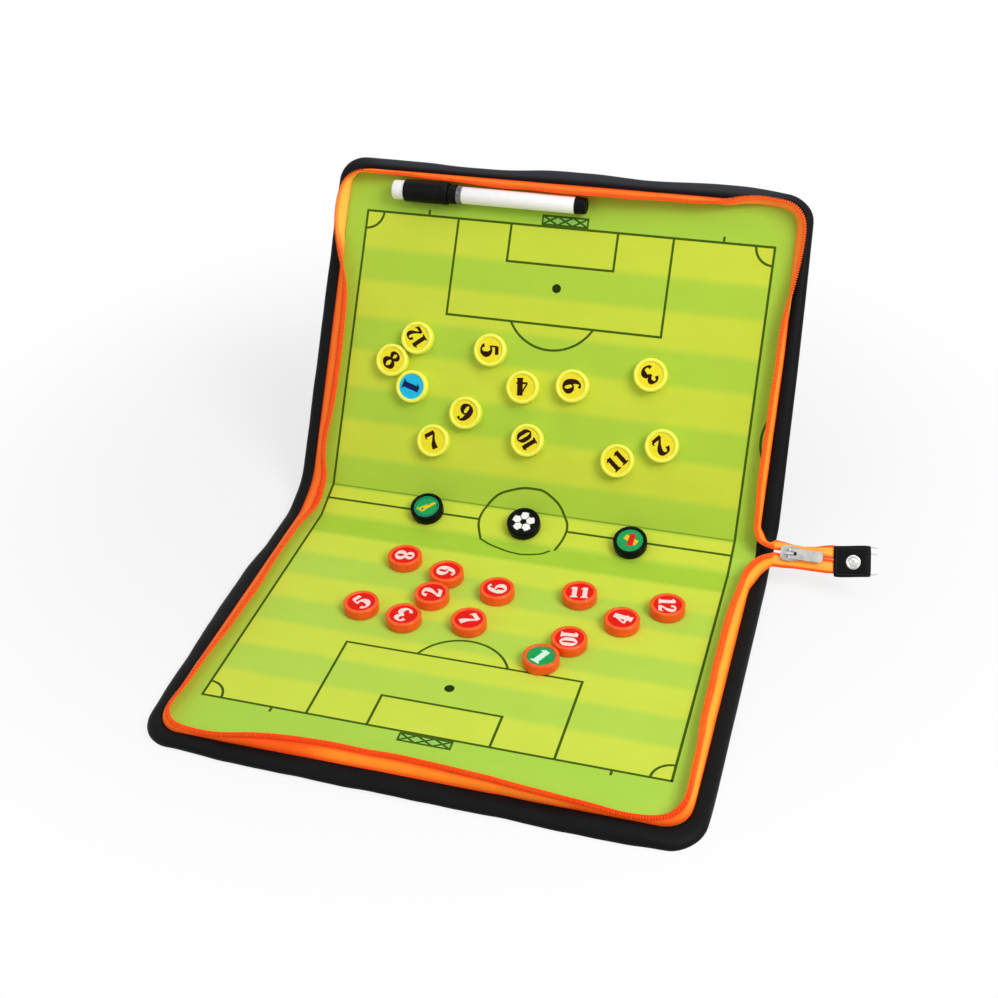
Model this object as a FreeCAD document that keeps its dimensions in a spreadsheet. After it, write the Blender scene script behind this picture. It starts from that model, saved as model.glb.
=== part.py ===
import FreeCAD, Part
import math
import os
import Sketcher
from FreeCAD import Placement, Rotation, Vector

# Tactics board: a zip-round folder with a lower leaf, a spine strip and an upper leaf, opened and
# standing on its lower leaf. Each leaf is drawn in its own frame: X runs along the crease, Y leads
# from the crease into the leaf and Z rises from the top of the pitch film. Sizes are in millimetres
# and degrees.
SIZES = (
    # folder
    ("leaf_width", 318),
    ("leaf_length", 221),
    ("leaf_corner", 18),
    ("spine_width", 26),
    ("spine_tilt", 20.3),
    ("leaf_tilt", 55.9),
    ("crease_gap", 0.4),
    # layers of a leaf, from the padded cover up to the printed film
    ("floor_thick", 3),
    ("board_thick", 2.4),
    ("iron_thick", 0.3),
    ("film_thick", 0.6),
    ("rim_width", 11),
    ("rim_round", 4),
    ("pocket_corner", 14),
    # zip tape with its coil
    ("tape_thick", 0.8),
    ("tape_fit", 0.1),
    ("tape_tuck", 3),
    ("tape_rise", 11.5),
    ("tape_lean", 4),
    ("tape_start", 5),
    ("coil_width", 2.6),
    ("coil_depth", 1.3),
    ("coil_bevel", 0.5),
    ("gusset_rise", 4.2),
    ("gusset_inset", 0.6),
    # zip tail, with the slider and the riveted tab
    ("tail_tilt", 52),
    ("tail_overhang", 1),
    ("tail_line", 15),
    ("tail_lift", 12),
    ("tail_gap", 0.8),
    ("tail_width", 17),
    ("tail_length", 43),
    ("tail_split", 2.4),
    ("tail_coil_radius", 0.8),
    ("tail_coil_inset", 1.6),
    ("anchor_width", 12),
    ("anchor_foot", 5),
    ("anchor_thick", 5),
    ("tab_slack", 0.7),
    ("tab_length", 22),
    ("tab_width", 19),
    ("tab_layer", 1.4),
    ("tab_slot", 7.5),
    ("tab_bevel", 0.9),
    ("rivet_place", 11.5),
    ("rivet_radius", 4.5),
    ("rivet_height", 1.8),
    ("rivet_shank", 1.5),
    ("rivet_foot", 0.6),
    ("slider_place", 5),
    ("slider_length", 11),
    ("slider_width", 9.2),
    ("slider_plate", 1),
    ("slider_fit", 0.25),
    ("slider_flange", 0.9),
    ("wedge_width", 1.8),
    ("bridge_height", 3.2),
    ("bridge_bar", 1.3),
    ("bridge_thick", 1.5),
    ("pull_length", 20),
    ("pull_width", 6.4),
    ("pull_thick", 1.1),
    ("pull_pin", 0.7),
    ("pull_fit", 0.35),
    # board marker
    ("pen_margin", 43),
    ("pen_clear", 11.8),
    ("pen_float", 0.05),
    ("pen_fit", 0.1),
    ("eraser_length", 8),
    ("eraser_radius", 6.2),
    ("cap_length", 30),
    ("cap_radius", 7.25),
    ("cap_roof", 2),
    ("cap_magnet_depth", 3),
    ("barrel_radius", 5.5),
    ("barrel_bore", 4.5),
    ("barrel_length", 79),
    ("grip_show", 6),
    ("grip_radius", 6.2),
    ("grip_reach", 12),
    ("spigot_length", 6),
    ("nib_radius", 1.9),
    ("nib_show", 5),
    ("nib_seat", 6),
    ("plug_length", 7.4),
    # counters
    ("token_diameter", 21.5),
    ("token_height", 6.6),
    ("token_gap", 1),
    ("token_float", 0.05),
    ("label_diameter", 16.4),
    ("label_depth", 0.8),
    ("magnet_side", 12),
    ("magnet_depth", 3),
)

# Places of the counters, as shares of the leaf's width from its middle and of its length from the crease.
UPPER_TOKEN_SHARES = {
    "yellow_02": (0.258, 0.240),
    "yellow_03": (0.217, 0.437),
    "yellow_04": (-0.040, 0.358),
    "yellow_05": (-0.118, 0.455),
    "yellow_06": (0.062, 0.379),
    "yellow_07": (-0.214, 0.169),
    "yellow_08": (-0.325, 0.392),
    "yellow_09": (-0.153, 0.263),
    "yellow_10": (-0.016, 0.206),
    "yellow_11": (0.173, 0.181),
}
LOWER_TOKEN_SHARES = {
    "red_04": (0.259, 0.286),
    "red_05": (-0.231, 0.390),
    "red_06": (0.008, 0.242),
    "red_07": (-0.017, 0.388),
    "red_08": (-0.199, 0.161),
    "red_09": (-0.103, 0.203),
    "red_10": (0.178, 0.398),
    "red_11": (0.164, 0.204),
    "red_12": (0.333, 0.199),
}
# Counters pushed up to a neighbour: the neighbour, and the share of the step along the leaf's two axes.
BESIDE_TOKEN_SHARES = {
    "yellow_01": ("yellow_08", 0.715, -0.699),
    "yellow_12": ("yellow_08", 0.684, 0.729),
    "red_01": ("red_10", -0.524, 0.852),
    "red_02": ("red_09", -0.091, 0.996),
    "red_03": ("red_02", -0.431, 1.067),
}
# Counters on the spine: share of the leaf's width, and share of the play that the spine leaves them.
SPINE_TOKEN_SHARES = {
    "black_whistle": (-0.203, 0.36),
    "black_ball": (0.004, 0.18),
    "black_cards": (0.225, -0.36),
}
# Outline of the slider's plates: shares of its length, and of its width on each side.
SLIDER_SHARES = ((0, 0.3), (0.2, 0.5), (0.58, 0.5), (0.82, 0.43), (1, 0.43))
# The wedge that parts the two tapes: shares of the slider's length and of the wedge's width.
WEDGE_SHARES = ((0.04, 0), (0.14, 0.5), (0.28, 0.5), (0.38, 0))
# Feet and bar of the slider's bridge, as shares of the slider's length.
BRIDGE_FOOT_SHARES = (0.14, 0.29, 0.71, 0.86)
BRIDGE_BAR_SHARES = (0.27, 0.35, 0.65, 0.73)
# The round edge of each counter is drawn with this many flats, which keeps the 27 of them light.
TOKEN_SIDES = 24

doc = FreeCAD.newDocument("tactics_board")
dims = doc.addObject("Spreadsheet::Sheet", "Dims")
for row, (name, number) in enumerate(SIZES, 1):
    dims.set(f"A{row}", name)
    dims.set(f"B{row}", str(number))
    dims.setAlias(f"B{row}", name)
doc.recompute()

STACK = "(Dims.floor_thick + Dims.board_thick + Dims.iron_thick + Dims.film_thick)"
POCKET_DEPTH = "(Dims.board_thick + Dims.iron_thick + Dims.film_thick)"
HALF_LEAF = "(Dims.leaf_width / 2)"
HALF_CREASE = "(Dims.crease_gap / 2)"
POCKET_HALF = f"({HALF_LEAF} - Dims.rim_width)"
POCKET_END = "(Dims.leaf_length - Dims.rim_width)"
TAPE_HALF = f"({POCKET_HALF} - Dims.tape_fit)"
TAPE_END = f"({POCKET_END} - Dims.tape_fit)"
PLATE_HALF = f"({TAPE_HALF} - Dims.tape_thick - Dims.tape_fit)"
PLATE_END = f"({TAPE_END} - Dims.tape_thick - Dims.tape_fit)"
TAPE_CORNER = "(Dims.pocket_corner - Dims.tape_fit)"
PLATE_CORNER = f"({TAPE_CORNER} - Dims.tape_thick - Dims.tape_fit)"
TAPE_SLOPE = "sqrt(Dims.tape_lean ^ 2 + Dims.tape_rise ^ 2)"
HALF_TAPE = "(Dims.tape_thick / 2)"
TAIL_ROOT = f"({HALF_LEAF} + Dims.tail_overhang)"
CAP_END = "(Dims.eraser_length + Dims.cap_length)"
GRIP_START = f"({CAP_END} - Dims.grip_reach)"
BARREL_START = f"({CAP_END} + Dims.grip_show)"
BARREL_END = f"({BARREL_START} + Dims.barrel_length)"
SPIGOT = "(Dims.barrel_bore - Dims.pen_fit)"
SLIDER_TOP = f"({HALF_TAPE} + Dims.tail_coil_radius + Dims.slider_fit)"
SLIDER_CROWN = f"({SLIDER_TOP} + Dims.slider_plate)"
PIN_LIFT = f"({SLIDER_CROWN} + (Dims.bridge_height - Dims.bridge_bar) / 2)"
TAB_HALF = f"({HALF_TAPE} + Dims.tape_fit + Dims.tab_layer)"
TAB_PLACE = "(Dims.tail_gap + Dims.tail_length + Dims.tab_slack - Dims.tab_slot)"

NODES = {}


def size(name):
    return float(dims.get(name))


def turned(y, z, angle):
    along = f"(({y}) * cos({angle}) - ({z}) * sin({angle}))"
    up = f"(({y}) * sin({angle}) + ({z}) * cos({angle}))"
    return along, up


def seat(piece, frame, x="0", y="0", z="0"):
    """Places a piece by its spot in one of the folder's frames."""
    spine_along, spine_up = turned("Dims.spine_width", "0", "Dims.spine_tilt")
    tail_along, tail_up = turned("Dims.tail_line", "Dims.tail_lift", "Dims.spine_tilt")
    axis, angle = Vector(1, 0, 0), "Dims.spine_tilt"
    if frame == "lower":
        axis, angle = Vector(0, 0, 1), "180"
        x, along, up = f"-({x})", f"-({y})", z
    elif frame == "spine":
        along, up = turned(y, z, angle)
    elif frame == "upper":
        angle = "Dims.leaf_tilt"
        along, up = turned(y, z, angle)
        along, up = f"{spine_along} + {along}", f"{spine_up} + {up}"
    else:
        angle = "Dims.tail_tilt"
        along, up = turned(y, z, angle)
        x, along, up = f"{TAIL_ROOT} + {x}", f"{tail_along} + {along}", f"{tail_up} + {up}"
    piece.Placement = Placement(Vector(), Rotation(axis, 1))
    piece.setExpression("Placement.Rotation.Angle", angle)
    piece.setExpression("Placement.Base.x", x)
    piece.setExpression("Placement.Base.y", f"Dims.leaf_length / 2 + {along}")
    piece.setExpression("Placement.Base.z", f"{STACK} + {up}")


def keep(piece, name):
    piece.Label = name
    NODES[name] = piece
    return piece


def new_body(name):
    body = doc.addObject("PartDesign::Body", name)
    doc.recompute()
    return body


def new_sketch(body, name, plane, lift="0"):
    sketch = body.newObject("Sketcher::SketchObject", name)
    found = [feature for feature in body.Origin.OriginFeatures if feature.Role == plane]
    sketch.AttachmentSupport = (found[0], [""])
    sketch.MapMode = "FlatFace"
    sketch.setExpression("AttachmentOffset.Base.z", lift)
    return sketch


def pin(sketch, line, end, x=None, y=None):
    """Holds one end of a line at a spot given by two expressions."""
    spot = sketch.getPoint(line, end)
    for text, kind, axis, now in ((x, "DistanceX", -2, spot.x), (y, "DistanceY", -1, spot.y)):
        if text == "0":
            sketch.addConstraint(Sketcher.Constraint("PointOnObject", line, end, axis))
        elif text is not None:
            held = sketch.addConstraint(Sketcher.Constraint(kind, -1, 1, line, end, now))
            sketch.setExpression(f"Constraints[{held}]", text)


def polygon(sketch, corners):
    """A closed outline with every corner held by its two expressions."""
    count = len(corners)
    first = sketch.GeometryCount
    turns = [2 * math.pi * (index + 0.5) / count for index in range(count + 1)]
    ring = [Vector(math.cos(turn), math.sin(turn), 0) for turn in turns]
    for index in range(count):
        sketch.addGeometry(Part.LineSegment(ring[index], ring[index + 1]), False)
    for index in range(count):
        after = first + (index + 1) % count
        sketch.addConstraint(Sketcher.Constraint("Coincident", first + index, 2, after, 1))
    for index, (x, y) in enumerate(corners):
        pin(sketch, first + index, 1, x, y)
    return sketch


def leaf_outline(sketch, half, start, end, radius, closed=True):
    """A leaf's outline with two round outer corners; left open at the crease it is the tape's path."""
    wide, long, round_ = size("leaf_width") / 2, size("leaf_length"), size("leaf_corner")
    up = Vector(0, 0, 1)
    left = Part.Circle(Vector(round_ - wide, long - round_, 0), up, round_)
    right = Part.Circle(Vector(wide - round_, long - round_, 0), up, round_)
    quarter = math.pi / 2
    lines = [
        Part.LineSegment(Vector(-wide, 0, 0), Vector(-wide, long - round_, 0)),
        Part.ArcOfCircle(left, quarter, 2 * quarter),
        Part.LineSegment(Vector(round_ - wide, long, 0), Vector(wide - round_, long, 0)),
        Part.ArcOfCircle(right, 0, quarter),
        Part.LineSegment(Vector(wide, long - round_, 0), Vector(wide, 0, 0)),
    ]
    ties = [
        Sketcher.Constraint("Tangent", 0, 2, 1, 2),
        Sketcher.Constraint("Tangent", 1, 1, 2, 1),
        Sketcher.Constraint("Tangent", 2, 2, 3, 2),
        Sketcher.Constraint("Tangent", 3, 1, 4, 1),
        Sketcher.Constraint("Vertical", 0),
        Sketcher.Constraint("Vertical", 4),
        Sketcher.Constraint("Horizontal", 2),
        Sketcher.Constraint("Equal", 1, 3),
    ]
    if closed:
        lines.append(Part.LineSegment(Vector(wide, 0, 0), Vector(-wide, 0, 0)))
        ties.append(Sketcher.Constraint("Coincident", 4, 2, 5, 1))
        ties.append(Sketcher.Constraint("Coincident", 5, 2, 0, 1))
    sketch.addGeometry(lines, False)
    sketch.addConstraint(ties)
    pin(sketch, 0, 1, f"-{half}", start)
    pin(sketch, 4, 2, half, start)
    pin(sketch, 2, 1, None, end)
    held = sketch.addConstraint(Sketcher.Constraint("Radius", 1, round_))
    sketch.setExpression(f"Constraints[{held}]", radius)
    return sketch


def pad(body, sketch, length, middle=False, back=False):
    feature = body.newObject("PartDesign::Pad", f"{body.Name}Pad")
    feature.Profile = sketch
    feature.Midplane = middle
    feature.Reversed = back
    feature.setExpression("Length", length)
    return feature


def pocket(body, sketch, length, middle=False):
    feature = body.newObject("PartDesign::Pocket", f"{body.Name}Pocket")
    feature.Profile = sketch
    feature.Midplane = middle
    feature.setExpression("Length", length)
    return feature


def turn(body, sketch, axis):
    feature = body.newObject("PartDesign::Revolution", f"{body.Name}Turn")
    feature.Profile = sketch
    feature.ReferenceAxis = (sketch, [axis])
    return feature


def turned_body(name, corners, axis="H_Axis"):
    """A round piece from its half section: along the pen for H_Axis, upright for V_Axis."""
    body = new_body(name)
    turn(body, polygon(new_sketch(body, f"{name}_section", "XZ_Plane"), corners), axis)
    return body


def box(name, frame, x, y, z, wide, deep, high):
    """A plain strip with one corner at the named spot of a frame."""
    piece = doc.addObject("Part::Box", name)
    for side, text in (("Length", wide), ("Width", deep), ("Height", high)):
        piece.setExpression(side, text)
    seat(piece, frame, x, y, z)
    return piece


def soften(body, chosen, radius):
    """Rounds the edges of a body whose middle point passes the test."""
    doc.recompute()
    base = body.Tip
    names = []
    for number, edge in enumerate(base.Shape.Edges, 1):
        middle = edge.valueAt((edge.FirstParameter + edge.LastParameter) / 2)
        if chosen(middle, edge):
            names.append(f"Edge{number}")
    feature = body.newObject("PartDesign::Fillet", f"{body.Name}Round")
    feature.Base = (base, names)
    feature.setExpression("Radius", radius)
    return feature


def level(edge):
    return edge.BoundBox.ZLength < size("tape_fit")


def plate(name, frame, bottom, thick):
    """One flat layer of a leaf inside the cover's pocket."""
    body = new_body(name)
    sketch = new_sketch(body, f"{name}_outline", "XY_Plane", f"-({bottom})")
    leaf_outline(sketch, PLATE_HALF, HALF_CREASE, PLATE_END, PLATE_CORNER)
    pad(body, sketch, thick)
    seat(body, frame)
    return keep(body, name)


def leaf_cover(name, frame):
    body = new_body(name)
    outline = new_sketch(body, f"{name}_outline", "XY_Plane", f"-{STACK}")
    leaf_outline(outline, HALF_LEAF, HALF_CREASE, "Dims.leaf_length", "Dims.leaf_corner")
    pad(body, outline, STACK)
    hollow = new_sketch(body, f"{name}_pocket", "XY_Plane")
    leaf_outline(hollow, POCKET_HALF, "-Dims.rim_width", POCKET_END, "Dims.pocket_corner")
    pocket(body, hollow, POCKET_DEPTH)
    slack = size("tape_fit")
    inside = size("leaf_width") / 2 - size("rim_width") + slack
    inner_end = size("leaf_length") - size("rim_width") + slack

    def outer(spot, edge):
        beyond = abs(spot.x) > inside or spot.y > inner_end
        upper = spot.z > -slack and spot.y > size("crease_gap")
        return level(edge) and beyond and upper

    soften(body, outer, "Dims.rim_round")
    seat(body, frame)
    return keep(body, name)


def lean_spot(along, out="0"):
    """A spot on the tape's outer face: the way up the slope, and the way out from it."""
    x = f"({along}) * Dims.tape_lean / {TAPE_SLOPE} - ({out}) * Dims.tape_rise / {TAPE_SLOPE}"
    z = f"({along}) * Dims.tape_rise / {TAPE_SLOPE} + ({out}) * Dims.tape_lean / {TAPE_SLOPE}"
    return f"{x} - {TAPE_HALF}", z


def sweep(name, frame, corners):
    """Runs a section round three sides of a leaf."""
    body = new_body(name)
    path = new_sketch(body, f"{name}_path", "XY_Plane")
    leaf_outline(path, TAPE_HALF, "Dims.tape_start", TAPE_END, TAPE_CORNER, closed=False)
    section = new_sketch(body, f"{name}_section", "XZ_Plane", "-Dims.tape_start")
    polygon(section, corners)
    doc.recompute()
    feature = body.newObject("PartDesign::AdditivePipe", f"{name}_run")
    feature.Profile = section
    feature.Spine = (path, [f"Edge{index + 1}" for index in range(path.GeometryCount)])
    seat(body, frame)
    return keep(body, name)


def zip_side(leaf):
    tape_section = [
        (f"-{TAPE_HALF}", "-Dims.tape_tuck"),
        (f"-{TAPE_HALF}", "0"),
        (f"Dims.tape_lean - {TAPE_HALF}", "Dims.tape_rise"),
        (f"Dims.tape_lean + Dims.tape_thick - {TAPE_HALF}", "Dims.tape_rise"),
        (f"Dims.tape_thick - {TAPE_HALF}", "0"),
        (f"Dims.tape_thick - {TAPE_HALF}", "-Dims.tape_tuck"),
    ]
    sweep(f"{leaf}_zip_tape", leaf, tape_section)
    coil_section = [
        lean_spot(f"{TAPE_SLOPE} - Dims.coil_width"),
        lean_spot(f"{TAPE_SLOPE} - Dims.coil_width + Dims.coil_bevel", "Dims.coil_depth"),
        lean_spot(f"{TAPE_SLOPE} - Dims.coil_bevel", "Dims.coil_depth"),
        lean_spot(TAPE_SLOPE),
    ]
    sweep(f"{leaf}_zip_coil", leaf, coil_section)


def leaf(name):
    leaf_cover(f"{name}_cover", name)
    plate(f"{name}_board", name, POCKET_DEPTH, "Dims.board_thick")
    plate(f"{name}_iron_sheet", name, "Dims.iron_thick + Dims.film_thick", "Dims.iron_thick")
    plate(f"{name}_pitch_film", name, "Dims.film_thick", "Dims.film_thick")
    zip_side(name)


def spine():
    body = new_body("spine_cover")
    floor = "-(Dims.iron_thick + Dims.film_thick)"
    section = new_sketch(body, "spine_section", "XZ_Plane", f"-{HALF_CREASE}")
    polygon(
        section,
        [
            (f"-{HALF_LEAF}", f"-{STACK}"),
            (HALF_LEAF, f"-{STACK}"),
            (HALF_LEAF, "0"),
            (POCKET_HALF, "0"),
            (POCKET_HALF, floor),
            (f"-{POCKET_HALF}", floor),
            (f"-{POCKET_HALF}", "0"),
            (f"-{HALF_LEAF}", "0"),
        ],
    )
    pad(body, section, "Dims.spine_width - Dims.crease_gap", back=True)
    outside = size("leaf_width") / 2 - size("tape_fit")
    slack = size("tape_fit")

    def outer(spot, edge):
        return abs(spot.x) > outside and spot.z > -slack and edge.BoundBox.YLength > slack

    soften(body, outer, "Dims.rim_round")
    seat(body, "spine")
    keep(body, "spine_cover")
    run = "Dims.spine_width - Dims.crease_gap"
    start = (f"-{PLATE_HALF}", HALF_CREASE)
    keep(box("spine_iron_strip", "spine", *start, floor, f"2 * {PLATE_HALF}", run, "Dims.iron_thick"),
         "spine_iron_strip")
    keep(box("spine_pitch_film", "spine", *start, "-Dims.film_thick", f"2 * {PLATE_HALF}", run,
             "Dims.film_thick"), "spine_pitch_film")
    gusset = new_body("spine_zip_gusset")
    lean = "Dims.gusset_rise * Dims.tape_lean / Dims.tape_rise"
    band = new_sketch(gusset, "gusset_section", "XZ_Plane", "-Dims.gusset_inset")
    polygon(
        band,
        [
            (f"-{TAPE_HALF}", floor),
            (f"-{TAPE_HALF}", "0"),
            (f"{lean} - {TAPE_HALF}", "Dims.gusset_rise"),
            (f"{lean} + Dims.tape_thick - {TAPE_HALF}", "Dims.gusset_rise"),
            (f"Dims.tape_thick - {TAPE_HALF}", "0"),
            (f"Dims.tape_thick - {TAPE_HALF}", floor),
        ],
    )
    pad(gusset, band, "Dims.spine_width - 2 * Dims.gusset_inset", back=True)
    seat(gusset, "spine")
    keep(gusset, "spine_zip_gusset")


def tail_anchor():
    """The block where both tapes leave the spine's right end; it leans outward from the rim."""
    body = new_body("zip_anchor")
    brink = f"({HALF_LEAF} - Dims.rim_round)"
    start = "-(Dims.tail_line - Dims.anchor_width / 2)"
    section = new_sketch(body, "anchor_section", "XZ_Plane", start)
    polygon(
        section,
        [
            (f"{brink} - Dims.anchor_foot", "0"),
            (brink, "0"),
            (TAIL_ROOT, "Dims.tail_lift - Dims.anchor_thick / 2"),
            (TAIL_ROOT, "Dims.tail_lift + Dims.anchor_thick / 2"),
        ],
    )
    pad(body, section, "Dims.anchor_width", back=True)
    seat(body, "spine")
    keep(body, "zip_anchor")


def tail_band():
    """The two tapes of the tail, each with half of the coil on its inner edge."""
    strip = "(Dims.tail_width / 2 - Dims.tail_split / 2)"
    ribbons, coils = [], []
    for side, start in (("front", "-Dims.tail_width / 2"), ("rear", "Dims.tail_split / 2")):
        ribbons.append(box(f"tail_tape_{side}", "tail", "Dims.tail_gap", start, f"-{HALF_TAPE}",
                           "Dims.tail_length", strip, "Dims.tape_thick"))
        bead = new_body(f"tail_coil_{side}")
        middle = "(Dims.tail_split / 2 + Dims.tail_coil_radius)"
        sign = "-" if side == "front" else ""
        bead_start = "(Dims.tail_gap + Dims.tail_coil_inset)"
        section = new_sketch(bead, f"tail_coil_{side}_section", "YZ_Plane", bead_start)
        half = "Dims.tail_coil_radius"
        polygon(
            section,
            [
                (f"{sign}{middle} - {half}", HALF_TAPE),
                (f"{sign}{middle} + {half}", HALF_TAPE),
                (f"{sign}{middle} + {half} * cos(45)", f"{HALF_TAPE} + {half} * sin(45)"),
                (f"{sign}{middle}", f"{HALF_TAPE} + {half}"),
                (f"{sign}{middle} - {half} * cos(45)", f"{HALF_TAPE} + {half} * sin(45)"),
            ],
        )
        pad(bead, section, f"{TAB_PLACE} - Dims.tail_gap - {bead_start}")
        coils.append(bead)
    tapes = doc.addObject("Part::Compound", "tail_tapes")
    tapes.Links = ribbons
    keep(tapes, "zip_tail_tapes")
    chain = doc.addObject("Part::Compound", "tail_coils")
    chain.Links = coils
    seat(chain, "tail")
    keep(chain, "zip_tail_coils")


def tail_tab():
    body = new_body("tail_tab")
    slit = f"({HALF_TAPE} + Dims.tape_fit)"
    nose = f"({TAB_HALF} - Dims.tab_bevel)"
    shoulder = "(Dims.tab_length - Dims.tab_bevel)"
    section = new_sketch(body, "tab_section", "XZ_Plane")
    polygon(
        section,
        [
            ("0", f"-{TAB_HALF}"),
            (shoulder, f"-{TAB_HALF}"),
            ("Dims.tab_length", f"-{nose}"),
            ("Dims.tab_length", nose),
            (shoulder, TAB_HALF),
            ("0", TAB_HALF),
            ("0", slit),
            ("Dims.tab_slot", slit),
            ("Dims.tab_slot", f"-{slit}"),
            ("0", f"-{slit}"),
        ],
    )
    pad(body, section, "Dims.tab_width", middle=True)
    hole = new_sketch(body, "tab_hole", "XY_Plane")
    hole.addGeometry(Part.Circle(Vector(1, 0, 0), Vector(0, 0, 1), 1), False)
    hole.addConstraint(Sketcher.Constraint("PointOnObject", 0, 3, -1))
    place = hole.addConstraint(Sketcher.Constraint("DistanceX", -1, 1, 0, 3, 1))
    hole.setExpression(f"Constraints[{place}]", "Dims.rivet_place")
    bore = hole.addConstraint(Sketcher.Constraint("Radius", 0, 1))
    hole.setExpression(f"Constraints[{bore}]", "Dims.rivet_shank + Dims.tape_fit")
    pocket(body, hole, f"4 * {TAB_HALF}", middle=True)
    seat(body, "tail", TAB_PLACE)
    keep(body, "zip_tail_tab")
    foot = f"({TAB_HALF} + Dims.rivet_foot)"
    rivet = turned_body(
        "zip_tail_rivet",
        [
            ("0", f"-{foot}"),
            ("Dims.rivet_shank", f"-{foot}"),
            ("Dims.rivet_shank", TAB_HALF),
            ("Dims.rivet_radius", TAB_HALF),
            ("Dims.rivet_radius", f"{TAB_HALF} + Dims.rivet_height"),
            ("0", f"{TAB_HALF} + Dims.rivet_height"),
        ],
        "V_Axis",
    )
    seat(rivet, "tail", f"{TAB_PLACE} + Dims.rivet_place")
    keep(rivet, "zip_tail_rivet")


def mirrored(shares, wide):
    """A closed outline from the shares of one side and their mirror image."""
    front = [(f"{along} * Dims.slider_length", f"-{out} * {wide}") for along, out in shares]
    rear = [(f"{along} * Dims.slider_length", f"{out} * {wide}") for along, out in reversed(shares)]
    ends = [spot for spot in front if not spot[1].startswith("-0 *")]
    return ends, [spot for spot in rear if not spot[1].startswith("0 *")]


def named(spots):
    return [tuple("0" if text.startswith(("0 *", "-0 *")) else text for text in spot) for spot in spots]


def slider():
    """Two plates joined by the wedge, with flanges that hold the coils and a bridge for the pull."""
    body = new_body("zip_slider")
    ends, back = mirrored(SLIDER_SHARES, "Dims.slider_width")
    plates = named(ends + back)
    under = f"({HALF_TAPE} + Dims.slider_fit)"
    sole = new_sketch(body, "slider_sole", "XY_Plane", f"-{under} - Dims.slider_plate")
    pad(body, polygon(sole, plates), "Dims.slider_plate")
    first, *between, last = WEDGE_SHARES
    spots = [(first[0], "0")]
    spots += [(along, f"-{out} * Dims.wedge_width") for along, out in between]
    spots += [(last[0], "0")]
    spots += [(along, f"{out} * Dims.wedge_width") for along, out in reversed(between)]
    wedge = new_sketch(body, "slider_wedge", "XY_Plane", f"-{under}")
    polygon(wedge, [(f"{along} * Dims.slider_length", out) for along, out in spots])
    pad(body, wedge, f"{under} + {SLIDER_TOP}")
    crown = new_sketch(body, "slider_crown", "XY_Plane", SLIDER_TOP)
    pad(body, polygon(crown, plates), "Dims.slider_plate")
    flanges = new_sketch(body, "slider_flanges", "XY_Plane", under)
    for sign in ("-", ""):
        edge = [(f"{along} * Dims.slider_length", f"{sign}{out} * Dims.slider_width")
                for along, out in SLIDER_SHARES[1:]]
        inner = [(f"{along} * Dims.slider_length",
                  f"{sign}({out} * Dims.slider_width - Dims.slider_flange)")
                 for along, out in reversed(SLIDER_SHARES[1:])]
        polygon(flanges, edge + inner)
    pad(body, flanges, f"{SLIDER_TOP} - {under}")
    foot = [f"{share} * Dims.slider_length" for share in BRIDGE_FOOT_SHARES]
    bar = [f"{share} * Dims.slider_length" for share in BRIDGE_BAR_SHARES]
    roof = f"{SLIDER_CROWN} + Dims.bridge_height"
    ceiling = f"{roof} - Dims.bridge_bar"
    bridge = new_sketch(body, "slider_bridge", "XZ_Plane")
    polygon(
        bridge,
        [
            (foot[0], SLIDER_CROWN),
            (bar[0], roof),
            (bar[3], roof),
            (foot[3], SLIDER_CROWN),
            (foot[2], SLIDER_CROWN),
            (bar[2], ceiling),
            (bar[1], ceiling),
            (foot[1], SLIDER_CROWN),
        ],
    )
    pad(body, bridge, "Dims.bridge_thick", middle=True)
    seat(body, "tail", "Dims.slider_place")
    keep(body, "zip_slider")


def pull():
    """A flat pull whose cross pin lies under the slider's bridge."""
    body = new_body("zip_pull")
    wide = "(Dims.pull_width / 2)"
    window = "(Dims.bridge_thick / 2 + Dims.pull_fit)"
    reach = f"(({BRIDGE_FOOT_SHARES[-1]} - 1 / 2) * Dims.slider_length + Dims.pull_fit)"
    tip = "(Dims.pull_length - Dims.pull_width / 4)"
    outline = new_sketch(body, "pull_outline", "XY_Plane")
    polygon(
        outline,
        [
            ("0", f"-{wide}"),
            (tip, f"-{wide}"),
            ("Dims.pull_length", f"-{wide} / 2"),
            ("Dims.pull_length", f"{wide} / 2"),
            (tip, wide),
            ("0", wide),
            ("0", window),
            (reach, window),
            (reach, f"-{window}"),
            ("0", f"-{window}"),
        ],
    )
    pad(body, outline, "Dims.pull_thick", middle=True)
    cross = new_sketch(body, "pull_pin", "XZ_Plane")
    cross.addGeometry(Part.Circle(Vector(), Vector(0, 0, 1), 1), False)
    cross.addConstraint(Sketcher.Constraint("Coincident", 0, 3, -1, 1))
    thick = cross.addConstraint(Sketcher.Constraint("Radius", 0, 1))
    cross.setExpression(f"Constraints[{thick}]", "Dims.pull_pin")
    pad(body, cross, "Dims.pull_width", middle=True)
    seat(body, "tail", "Dims.slider_place + Dims.slider_length / 2", "0", PIN_LIFT)
    keep(body, "zip_pull")


def pen_piece(name, corners):
    body = turned_body(name, corners)
    seat(body, "upper", f"Dims.pen_margin - {HALF_LEAF}", f"{POCKET_END} - Dims.pen_clear",
         "Dims.cap_radius + Dims.pen_float")
    return keep(body, name)


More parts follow.
